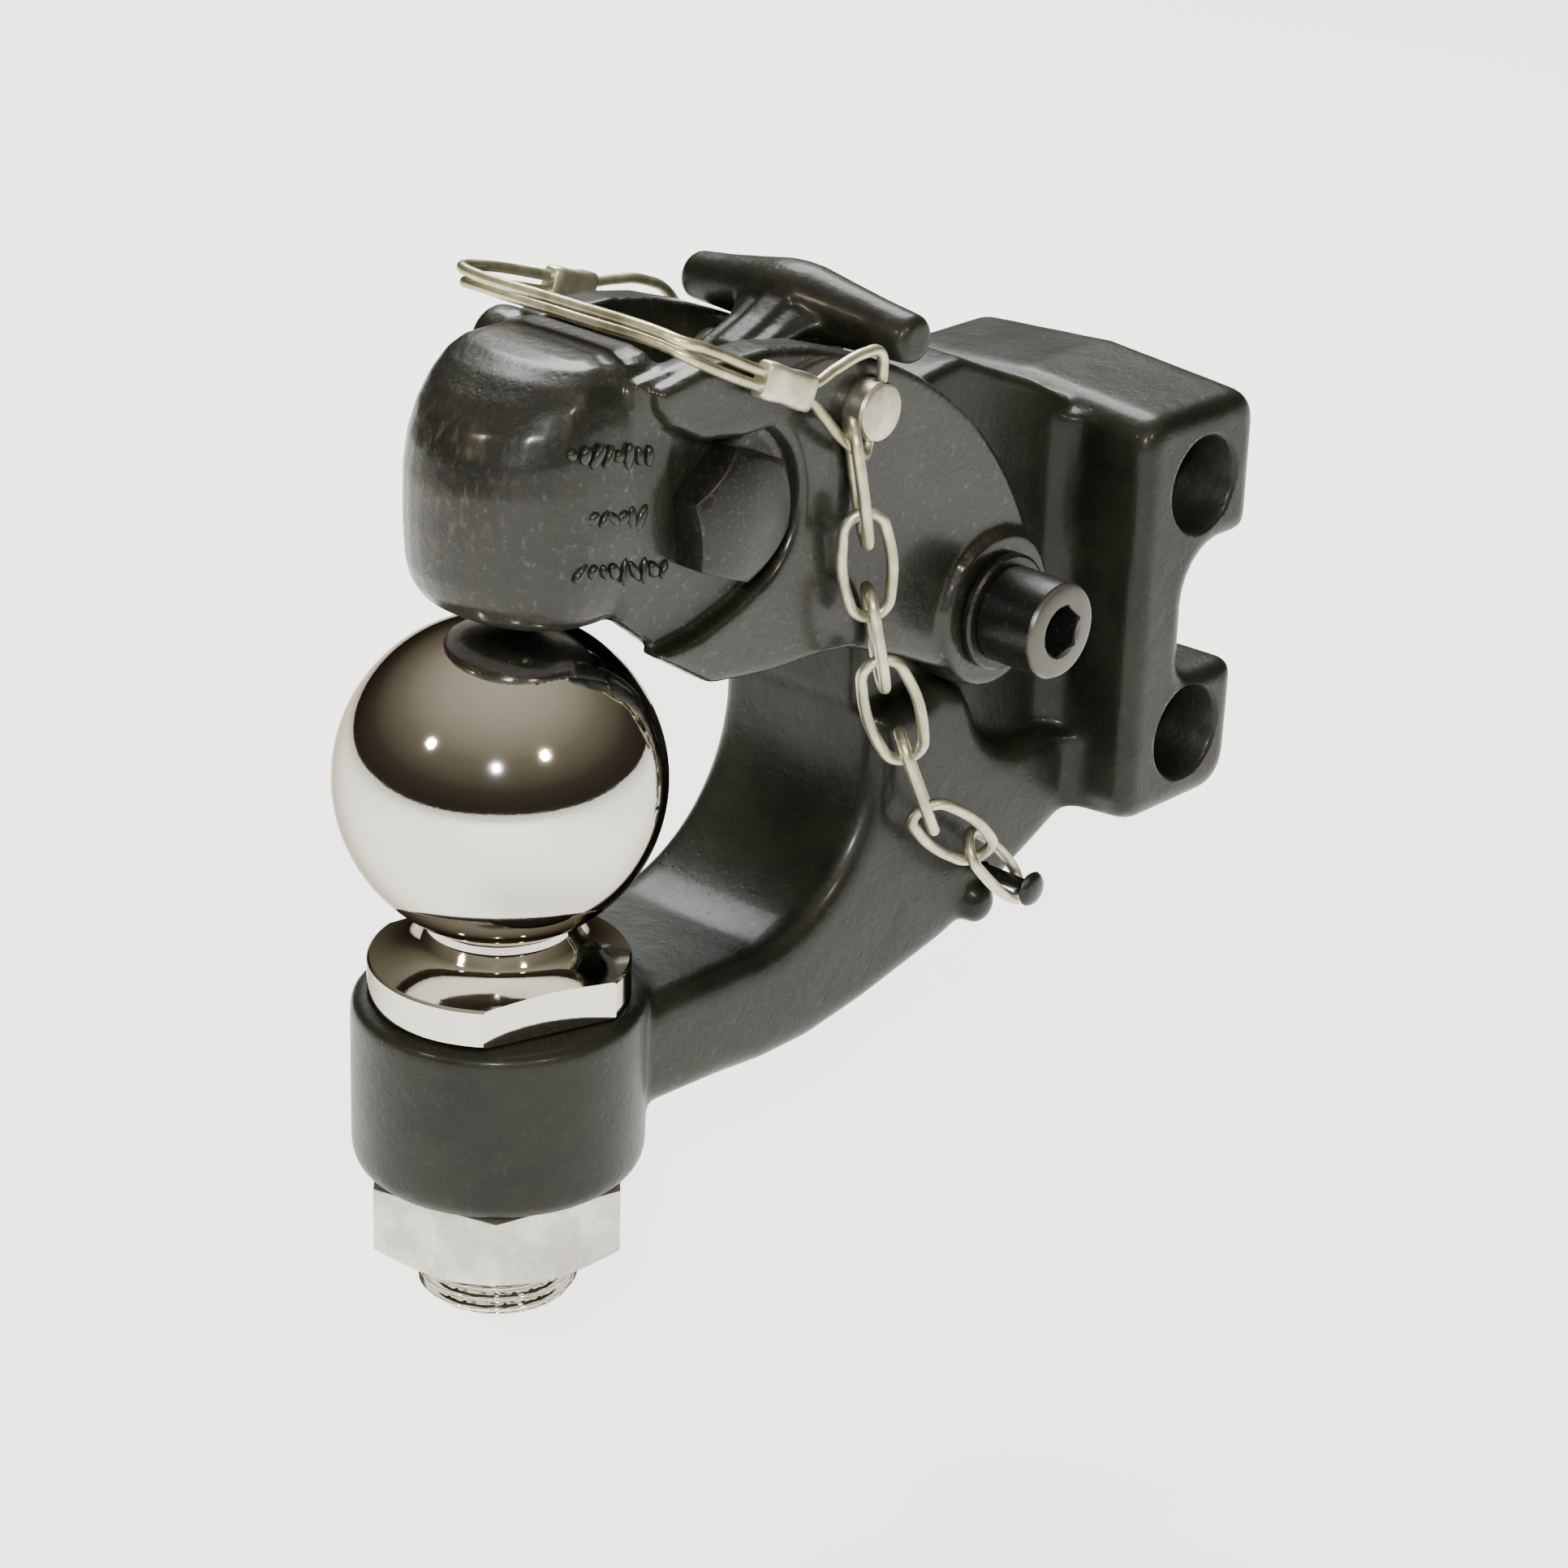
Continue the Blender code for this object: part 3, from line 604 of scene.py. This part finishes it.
# ---------------------------------------------------------------- jaw pivot
# A black socket-head bolt through the wings and the tongue, with a collar washer on each side and a hexagon
# nut on the far end. Its turned head face is left bright.
def black_oxide(name, bright_beyond=None):
    """Black oxide on steel. On the near side of a given y, in metres, the turned face is left bright."""
    n = Nodes(name)
    place = n.make("TexCoord", output=3)
    cloud = n.make("TexNoise", Vector=place, Scale=220.0, Detail=4.0)
    rub = n.make("TexNoise", Vector=place, Scale=1400.0, Detail=4.0)
    colour = n.blend(rub.smooth(0.55, 0.75) * 0.6, (0.009, 0.009, 0.008, 1.0), (0.060, 0.058, 0.048, 1.0))
    if bright_beyond is not None:
        side = n.make("SeparateXYZ", output=1, Vector=place)
        face = 1.0 - side.smooth(bright_beyond - 0.0002, bright_beyond + 0.0003)
        colour = n.blend(face * (0.55 + 0.45 * cloud), colour, (0.075, 0.076, 0.062, 1.0))
    bump = n.make("Bump", Height=cloud + rub * 0.3, Strength=0.2, Distance=0.0004)
    return n.finish(Base_Color=colour, Metallic=0.55, Roughness=0.26 + cloud * 0.2, Normal=bump)


bolt_profile = [(0.0, -34.9), (6.9, -34.9), (7.6, -34.6), (8.0, -34.0), (8.0, -23.9), (6.3, -23.85)]
bolt_profile += [(6.3, 36.5), (5.6, 37.4), (0.0, 37.4)]
bolt = add_object("pivot_bolt_skin", turned(bolt_profile, 96, PIVOT, "Y"))
socket_corner = 8.0 / 2 / math.cos(math.pi / 6)
socket_turns = [math.pi / 3 * i + 0.3 for i in range(6)]
cut(bolt, loft([[(PIVOT[0] + socket_corner * math.cos(a), y, PIVOT[2] + socket_corner * math.sin(a))
                 for a in socket_turns] for y in (-36.0, -28.4)]))
cut(bolt, turned([(0.0, -37.0), (6.6, -37.0), (3.9, -34.3), (0.0, -34.3)], 48, PIVOT, "Y"))
shade(bolt, 30.0)
deliver(bolt, "base", "bolts", black_oxide("bolt_oxide", -34.3 * MM), "pivot_bolt")
oxide = black_oxide("plain_oxide")
collar_profile = [(6.6, 21.95), (9.3, 21.95), (9.7, 22.3), (9.7, 23.1), (9.2, 23.5), (6.6, 23.5)]
for name, node, side in (("collar_near", "pivot_washer", -1), ("collar_far", "pivot_washer_far", 1)):
    bm = bmesh.new()
    bm.from_mesh(turned([(r, side * h) for r, h in collar_profile], 80, PIVOT, "Y"))
    end_caps = [face for face in bm.faces if len(face.verts) > 4]
    bmesh.ops.delete(bm, geom=end_caps, context="FACES_ONLY")
    bmesh.ops.bridge_loops(bm, edges=[edge for edge in bm.edges if edge.is_boundary])
    bmesh.ops.recalc_face_normals(bm, faces=bm.faces)
    collar_mesh = bpy.data.meshes.new(name)
    bm.to_mesh(collar_mesh)
    bm.free()
    deliver(shade(add_object(name, collar_mesh), 30.0), "base", "bolts", oxide, node)
far_nut = hexagon("pivot_nut_skin", 19.05, 23.8, 34.7, PIVOT, 0.0, "Y",
                  chamfer_high=True, bore=13.0, soft=0.25)
deliver(far_nut, "base", "bolts", oxide, "pivot_nut")

# ---------------------------------------------------------------- chain stud
# A short headed steel stud, blackened and driven into the arm's right side. The chain's last link hangs on
# it, held by the head.
stud_profile = [(0.0, -29.4), (1.6, -29.3), (2.6, -28.9), (3.0, -28.3), (2.7, -27.9), (1.2, -27.7)]
stud_profile += [(1.2, -13.6), (0.0, -13.5)]
stud = add_object("stud_skin", turned(stud_profile, 40, STUD, "Y"))
deliver(shade(stud, 40.0), "base", "bolts", oxide, "chain_stud")

# ---------------------------------------------------------------- upper jaw
# The hinged pintle jaw: a bull nose that closes over the ball and two wings that straddle the base's tongue,
# forged in one and painted black, with a machined seat on each side for the lever bolt.
LEVER_BOLT = (28.5, 0.0, 40.5)
PIN = (57.0, 0.0, 50.5)
NOSE_MIDDLE = 5.0       # where the nose's round front meets its straight sides
NOSE_BACK = 17.5
NOSE_HALF = 17.3


def nose_ring(z, front, half):
    """One level of the nose: a rounded front between two straight sides."""
    ring = [(NOSE_BACK, -half, z)]
    for i in range(17):
        a = math.radians(-90.0 + 180.0 * i / 16)
        bulge = (NOSE_MIDDLE - front) * math.cos(a) ** 0.9 if math.cos(a) > 1e-6 else 0.0
        ring.append((NOSE_MIDDLE - bulge, half * math.sin(a), z))
    ring.append((NOSE_BACK, half, z))
    return ring


nose_rows = [(26.9, -4.0, 12.2), (27.5, -7.2, 14.2), (29.2, -10.2, 15.8), (31.8, -12.2, 16.6)]
nose_rows += [(35.0, -13.2, 17.0), (42.0, -13.5, NOSE_HALF), (49.0, -13.4, 17.2), (54.0, -12.4, 16.9)]
nose_rows += [(58.0, -10.4, 16.4), (61.5, -7.2, 15.6), (64.2, -3.2, 14.4), (66.0, 1.2, 12.4)]
nose_rows += [(66.6, 5.0, 9.6)]
pieces = [loft([nose_ring(*row) for row in nose_rows])]
wing_rear = arc(35.0, -8.0, 70.0, 66.0, 24.5, 20)
disc = arc(PIVOT[0], PIVOT[2], 13.5, 20.0, -130.0, 16)
wing_low = [(79.3, 1.2), (68.0, 6.4), (55.7, 11.2), (47.5, 12.0), (39.6, 12.1), (32.0, 12.9), (25.1, 13.9)]
inner = [(10.0, 63.6), (22.0, 64.8), (35.6, 64.4), (45.0, 62.6), (54.0, 59.6)]
inner += wing_rear + disc + wing_low + [(8.0, 27.6)]
seat_edge = arc(29.0, 40.0, 14.1, -58.0, 56.0, 12)
outer = [(12.3, 62.8), (23.0, 64.6), (35.6, 64.4), (45.0, 62.6), (54.0, 59.6)]
outer += wing_rear + disc + wing_low + [(13.0, 21.5), (22.0, 22.5), (30.0, 25.0)] + seat_edge
outer += [(30.0, 51.6), (22.0, 52.9), (15.4, 56.6), (12.8, 59.8)]
for side in (-1, 1):
    low, high = sorted((side * 13.1, side * 16.8))
    pieces.append(slab(inner, low, high))
    low, high = sorted((side * 15.6, side * 20.0))
    pieces.append(slab(outer, low, high, 1.3 if side < 0 else 0.0, 1.3 if side > 0 else 0.0, steps=3))
    disc_profile = [(0.0, 17.0), (12.9, 17.0), (12.9, 21.2), (12.4, 21.6), (0.0, 21.6)]
    pieces.append(turned([(r, side * h) for r, h in disc_profile], 64, PIVOT, "Y"))
pieces.append(slab(arc(17.0, 60.6, 5.6, 0.0, 337.5, 15), 14.0, 20.0, 0.0, 1.6))
roof = [(8.0, 58.0), (8.0, 65.4), (14.0, 65.6), (18.0, 64.0), (18.0, 58.0)]
pieces.append(slab(roof, -14.0, 14.0))
jaw = skin("jaw_skin", pieces, 0.6, 6)
cut(jaw, drill(13.0, 21.6, PIVOT, 0.3), drill(13.4, 16.6, LEVER_BOLT, 0.3), drill(9.6, 20.0, PIN, 0.5))
shade(jaw, 50.0)
jaw_paint = forged_paint("jaw_paint", at_ball(-12.0, 1.0, 49.0), 0.38)
deliver(jaw, "jaw", "forging", jaw_paint, "upper_jaw")


def geometry_tree(name, inputs):
    """A Geometry Nodes tree with a geometry input and output, and inputs of the stated names and types."""
    made = bpy.data.node_groups.new(name, "GeometryNodeTree")
    made.interface.new_socket("Geometry", in_out="INPUT", socket_type="NodeSocketGeometry")
    made.interface.new_socket("Geometry", in_out="OUTPUT", socket_type="NodeSocketGeometry")
    keys = {}
    for label, kind in inputs:
        keys[label] = made.interface.new_socket(label, in_out="INPUT", socket_type=kind).identifier
    return made, made.nodes.new("NodeGroupInput"), made.nodes.new("NodeGroupOutput"), keys


def step(made, kind, links=(), **values):
    """A node of the tree, its settings made first and its inputs linked or set by number."""
    node = made.nodes.new(kind)
    for key, value in values.items():
        setattr(node, key, value)
    for index, source in links:
        if hasattr(source, "is_output"):
            made.links.new(source, node.inputs[index])
        else:
            node.inputs[index].default_value = source
    return node


def cast_marks():
    """Three rows of plain raised dashes on the nose's right side, where a forging carries its rating."""
    sockets = [("Dash", "NodeSocketFloat"), ("Finish", "NodeSocketMaterial")]
    made, into, out, keys = geometry_tree("dash_rows", sockets)
    dash = step(made, "GeometryNodeMeshUVSphere", [(0, 10), (1, 8)])
    made.links.new(into.outputs["Dash"], dash.inputs["Radius"])
    turn = step(made, "FunctionNodeRandomValue", data_type="FLOAT_VECTOR")
    turn.inputs[0].default_value = (-0.2, -0.9, -0.2)
    turn.inputs[1].default_value = (0.2, 0.9, 0.2)
    size = step(made, "FunctionNodeRandomValue", data_type="FLOAT_VECTOR")
    size.inputs[0].default_value = (0.55, 0.55, 0.8)
    size.inputs[1].default_value = (1.0, 0.7, 2.1)
    placed = step(made, "GeometryNodeInstanceOnPoints", [(0, into.outputs["Geometry"]), (2, dash.outputs[0])])
    made.links.new(turn.outputs[0], placed.inputs["Rotation"])
    made.links.new(size.outputs[0], placed.inputs["Scale"])
    real = step(made, "GeometryNodeRealizeInstances", [(0, placed.outputs[0])])
    coat = step(made, "GeometryNodeSetMaterial", [(0, real.outputs[0])])
    made.links.new(into.outputs["Finish"], coat.inputs["Material"])
    made.links.new(coat.outputs[0], out.inputs[0])
    points = bpy.data.meshes.new("dash_points")
    spots = []
    for start, end, z, count in ((-1.5, 13.0, 55.6, 8), (2.0, 11.5, 45.4, 6), (0.0, 16.5, 37.6, 9)):
        for i in range(count):
            x = start + (end - start) * i / (count - 1)
            y = -math.sqrt(NOSE_HALF ** 2 - min(0.0, x - NOSE_MIDDLE) ** 2) + 0.15
            spots.append(at_ball(x, y, z - 0.22 * (x - start)))
    points.from_pydata(spots, [], [])
    obj = add_object("cast_marks", points)
    dashes = obj.modifiers.new("dashes", "NODES")
    dashes.node_group = made
    dashes[keys["Dash"]] = 1.1 * MM
    dashes[keys["Finish"]] = jaw_paint
    return shade(apply_modifiers(obj), 60.0)


deliver(cast_marks(), "jaw", "forging", jaw_paint)

# ---------------------------------------------------------------- lever bolt
# A blackened 1/2 in hexagon bolt across both wings, which carries the lock lever. Its head sits in the near
# seat and its nut in the far one.
head = hexagon("lever_bolt_head", 19.05, -22.9, -16.9, LEVER_BOLT, math.radians(-22.0), "Y", chamfer_low=True)
deliver(head, "jaw", "bolts", black_oxide("lever_bolt_oxide"))
shank_profile = [(0.0, -17.2), (6.3, -17.2), (6.3, 24.8), (5.6, 25.5), (0.0, 25.5)]
shank = add_object("lever_shank", turned(shank_profile, 64, LEVER_BOLT, "Y"))
deliver(shade(shank), "jaw", "bolts", oxide, "lever_bolt")
lever_nut = hexagon("lever_nut_skin", 19.05, 16.9, 23.4, LEVER_BOLT, 0.0, "Y",
                    chamfer_high=True, bore=12.9, soft=0.3)
deliver(lever_nut, "jaw", "bolts", oxide, "lever_bolt_nut")

# ---------------------------------------------------------------- lock lever
# The latch lever, one painted forging: an eye on the lever bolt, a ridged stem over the lock pin with a tooth
# behind it, and a T handle that rests on the wings.
def oval_path(rows, sides=40):
    """A body through discs along Y: (y, x, z, radius across, radius up)."""
    rings = []
    for y, x, z, across, tall in rows:
        turns = [2 * math.pi * i / sides for i in range(sides)]
        rings.append([(x + across * math.cos(a), y, z + tall * math.sin(a)) for a in turns])
    return loft(rings)


half_bar = [(23.6, 64.6, 60.2, 2.6, 2.6), (23.2, 64.6, 60.2, 3.4, 3.4), (22.4, 64.6, 60.2, 3.9, 3.9)]
half_bar += [(16.0, 64.4, 60.6, 4.3, 4.4), (9.0, 64.0, 61.2, 5.0, 5.1), (3.0, 63.6, 61.7, 5.8, 5.8)]
half_bar += [(0.0, 63.5, 61.8, 5.9, 5.9)]
bar = [(-y, x, z, a, b) for y, x, z, a, b in half_bar] + half_bar[::-1][1:]
stem_outline = [(30.0, 31.4), (36.0, 34.5), (44.0, 42.0), (49.3, 48.6), (51.0, 53.2), (54.0, 56.3)]
stem_outline += [(57.8, 57.2), (61.2, 55.4), (62.8, 50.5), (64.2, 44.0), (64.6, 38.6), (67.6, 42.6)]
stem_outline += [(68.3, 50.0), (68.6, 58.0), (67.0, 63.4), (62.6, 65.6), (59.0, 62.9), (54.0, 60.2)]
stem_outline += [(47.0, 57.5), (37.0, 52.6), (30.0, 49.6)]
eye_profile = [(0.0, -12.4), (9.4, -12.4), (10.0, -11.8), (10.0, 11.8), (9.4, 12.4), (0.0, 12.4)]
pieces = [turned(eye_profile, 64, LEVER_BOLT, "Y")]
pieces += [slab(stem_outline, -6.0, 6.0, 1.2, 1.2, 0.0, 3), oval_path(bar)]
ridge = [(46.0, 55.0), (46.6, 58.2), (53.6, 61.2), (58.4, 63.8), (62.4, 66.4), (64.0, 64.0), (58.0, 58.0)]
pieces.append(slab(ridge, -2.6, 2.6, 0.8, 0.8, 0.0, 2))
flare = []
for x, half, low_z, high_z in ((48.0, 5.0, 52.0, 57.4), (53.0, 6.4, 55.4, 59.6), (57.0, 7.8, 57.6, 62.0),
                               (60.0, 10.4, 57.4, 63.6), (62.6, 15.0, 57.6, 64.0), (65.0, 15.0, 58.2, 63.6)):
    middle, tall = (low_z + high_z) / 2, (high_z - low_z) / 2
    flare.append([(x, half * math.cos(2 * math.pi * i / 24), middle + tall * math.sin(2 * math.pi * i / 24))
                  for i in range(24)])
pieces.append(loft(flare))
lever = skin("lever_skin", pieces, 0.5, 7)
cut(lever, drill(12.95, 12.4, LEVER_BOLT, 0.4))
shade(lever, 50.0)
deliver(lever, "lever", "forging", forged_paint("lever_paint"), "lock_lever")

# ---------------------------------------------------------------- lock pin
# A zinc-plated steel pin through both wings, under the lever. It is chamfered at each end, and its head is
# cross-drilled for the wire bail.
BAIL_Y = -21.9
HOLE_WAY = Vector((0.25, 0.0, 0.97)).normalized()
pin_profile = [(0.0, -23.6), (3.9, -23.6), (4.4, -23.4), (4.7, -22.9), (4.7, 21.4), (3.5, 22.6), (0.0, 22.6)]
pin = add_object("pin_skin", turned(pin_profile, 72, PIN, "Y"))
hole = Vector((PIN[0], BAIL_Y, PIN[2]))
hole_radius = 1.4
across = []
for i in range(24):
    a = 2 * math.pi * i / 24
    sideways = math.cos(a) * Vector((0, 1, 0)) + math.sin(a) * HOLE_WAY.cross(Vector((0, 1, 0)))
    across.append(hole_radius * sideways)
cut(pin, loft([[tuple(hole + end * 8.0 * HOLE_WAY + p) for p in across] for end in (-1, 1)]))
deliver(shade(pin, 30.0), "pin", "plated", zinc("pin_zinc", 0.5, 0.28), "safety_pin")

# ---------------------------------------------------------------- wire bail and its ferrules
# One length of yellow zinc-plated spring wire, doubled over the jaw and crimped by a flat ferrule on each
# side. Its near loop runs through the pin's head, and its far loop snaps round the pin's tip.
wire_sockets = [("Radius", "NodeSocketFloat"), ("Spacing", "NodeSocketFloat")]
wire_sockets += [("Finish", "NodeSocketMaterial")]
wire_tree, wire_in, wire_out, wire_keys = geometry_tree("round_wire", wire_sockets)
wire_round = step(wire_tree, "GeometryNodeCurvePrimitiveCircle", [(0, 16), (4, wire_in.outputs["Radius"])])
even = step(wire_tree, "GeometryNodeResampleCurve", [(0, wire_in.outputs["Geometry"])])
even.mode = "LENGTH"
wire_tree.links.new(wire_in.outputs["Spacing"], even.inputs["Length"])
tube = step(wire_tree, "GeometryNodeCurveToMesh", [(0, even.outputs[0]), (1, wire_round.outputs[0])])
tube.inputs["Fill Caps"].default_value = True
real = step(wire_tree, "GeometryNodeRealizeInstances", [(0, tube.outputs[0])])
smooth = step(wire_tree, "GeometryNodeSetShadeSmooth", [(0, real.outputs[0])])
coat = step(wire_tree, "GeometryNodeSetMaterial", [(0, smooth.outputs[0])])
wire_tree.links.new(wire_in.outputs["Finish"], coat.inputs["Material"])
wire_tree.links.new(coat.outputs[0], wire_out.inputs[0])


def wire_along(name, points, diameter, material, closed):
    """Round wire bent smoothly through points, made by the round_wire tree."""
    curve = bpy.data.curves.new(name, "CURVE")
    curve.dimensions = "3D"
    spline = curve.splines.new("BEZIER")
    spline.bezier_points.add(len(points) - 1)
    spline.use_cyclic_u = closed
    for knot, point in zip(spline.bezier_points, points):
        knot.co = at_ball(*point)
        knot.handle_left_type = knot.handle_right_type = "AUTO"
    guide = bpy.data.objects.new(name + "_guide", curve)
    bpy.context.scene.collection.objects.link(guide)
    bender = guide.modifiers.new("wire", "NODES")
    bender.node_group = wire_tree
    bender[wire_keys["Radius"]] = diameter / 2 * MM
    bender[wire_keys["Spacing"]] = 0.5 * MM
    bender[wire_keys["Finish"]] = material
    graph = bpy.context.evaluated_depsgraph_get()
    mesh = bpy.data.meshes.new_from_object(guide.evaluated_get(graph))
    bpy.data.objects.remove(guide)
    return add_object(name, mesh)


FAR_Y = 24.6
wire_zinc = zinc("wire_zinc", 1.0, 0.25)
path = [tuple(hole), tuple(hole - 5.4 * HOLE_WAY), (54.2, BAIL_Y - 0.8, 44.2), (50.6, BAIL_Y - 2.0, 46.2)]
path += [(46.6, BAIL_Y - 1.8, 49.6), (44.0, BAIL_Y - 1.2, 52.8), (41.4, BAIL_Y - 0.8, 55.75)]
path += [(30.0, BAIL_Y - 0.8, 60.6), (19.0, BAIL_Y - 0.6, 66.0)]
path += [(15.2, BAIL_Y + 0.6, 68.2), (14.5, BAIL_Y + 3.0, 69.0), (14.5, 0.0, 69.0), (14.5, 21.6, 69.0)]
path += [(15.4, 24.1, 68.6), (20.0, FAR_Y, 67.4), (33.0, FAR_Y, 63.4), (42.4, FAR_Y, 60.4)]
path += [(46.0, FAR_Y, 58.0), (50.0, FAR_Y, 53.6), (52.6, FAR_Y, 47.2), (57.0, FAR_Y, 44.8)]
path += [(61.8, FAR_Y, 46.8), (63.0, FAR_Y, 51.6), (60.2, FAR_Y, 57.4), (54.0, FAR_Y, 61.0)]
path += [(47.0, FAR_Y, 62.4), (42.8, FAR_Y, 62.9), (33.2, FAR_Y, 65.9), (20.2, FAR_Y, 70.0)]
path += [(14.6, 23.9, 71.2), (13.5, 20.8, 71.2), (13.5, 0.0, 71.2)]
path += [(13.5, BAIL_Y + 3.8, 71.2), (14.2, BAIL_Y + 0.4, 70.6), (18.4, BAIL_Y - 0.6, 68.8)]
path += [(29.6, BAIL_Y - 0.8, 63.2), (41.2, BAIL_Y - 0.8, 58.25), (47.0, BAIL_Y - 0.6, 59.4)]
path += [(53.6, BAIL_Y - 0.4, 60.4), (57.6, BAIL_Y - 0.2, 59.6), tuple(hole + 6.0 * HOLE_WAY)]
bail = wire_along("bail_skin", path, 1.75, wire_zinc, True)
deliver(bail, "bail", "plated", wire_zinc, "bail_wire")


def ferrule(name, node, start, end, y):
    """A crimped oval sleeve, waisted by the tool."""
    along = Vector((end[0] - start[0], 0.0, end[1] - start[1]))
    length = along.length
    along.normalize()
    rise = Vector((-along.z, 0.0, along.x))
    rings = []
    for share, tall, thick in ((0.0, 2.55, 1.3), (0.04, 2.85, 1.65), (0.2, 2.95, 1.7), (0.5, 2.7, 1.45),
                               (0.8, 2.95, 1.7), (0.96, 2.85, 1.65), (1.0, 2.55, 1.3)):
        middle = Vector((start[0], y, start[1])) + along * length * share
        ring = []
        for i in range(40):
            a = 2 * math.pi * i / 40
            c, s = math.cos(a), math.sin(a)
            ring.append(tuple(middle + rise * tall * math.copysign(abs(c) ** 0.45, c)
                              + Vector((0, 1, 0)) * thick * math.copysign(abs(s) ** 0.6, s)))
        rings.append(ring)
    sleeve = shade(add_object(name, loft(rings)), 45.0)
    deliver(sleeve, "bail", "plated", zinc(name + "_zinc", 0.7, 0.3), node)


ferrule("near_sleeve", "near_ferrule", (30.3, 61.75), (41.0, 57.0), BAIL_Y - 0.8)
ferrule("far_sleeve", "far_ferrule", (33.2, 64.6), (42.4, 61.65), FAR_Y)

# ---------------------------------------------------------------- safety chain
# Seven welded links of zinc-plated wire, from the bail down to the stud. Each is turned across the one
# before, and the top link is a little longer, to go round the bail's wire.
LINK_WIRE = 1.9
LINK_WIDTH = 8.8
CHAIN_Y = -24.4
joints = [(49.8, 47.9), (52.8, 33.5), (55.0, 20.5), (58.3, 8.0), (64.8, -6.6), (71.7, -20.4), (84.0, -30.4)]
joints += [(STUD[0], STUD[2])]
tilts = [52.0, -30.0, 52.0, -38.0, 50.0, -38.0, 36.0]
chain_zinc = zinc("chain_zinc", 0.8, 0.26)
for number, (start, end) in enumerate(zip(joints, joints[1:])):
    play, shift = (1.7, 0.25) if number == 0 else (0.8, 0.0)
    top = Vector((start[0], CHAIN_Y + shift, start[1]))
    low = Vector((end[0], CHAIN_Y, end[1]))
    along = low - top
    reach = along.length + LINK_WIRE + play
    along.normalize()
    side = along.cross(Vector((0.0, 1.0, 0.0))).normalized()
    tilt = math.radians(tilts[number])
    wide = math.cos(tilt) * side + math.sin(tilt) * side.cross(along)
    middle = (top + low) / 2
    bend = (LINK_WIDTH - LINK_WIRE) / 2
    straight = (reach + LINK_WIRE) / 2 - bend
    points = []
    for sign, first in ((1, -90.0), (-1, 90.0)):
        for k in range(5):
            a = math.radians(first + 45.0 * k)
            lengthwise = sign * straight + bend * math.cos(a)
            points.append(tuple(middle + along * lengthwise + wide * bend * math.sin(a)))
    link = wire_along(f"link_skin_{number + 1}", points, LINK_WIRE, chain_zinc, True)
    deliver(link, "chain", "plated", chain_zinc, f"chain_link_{number + 1}")
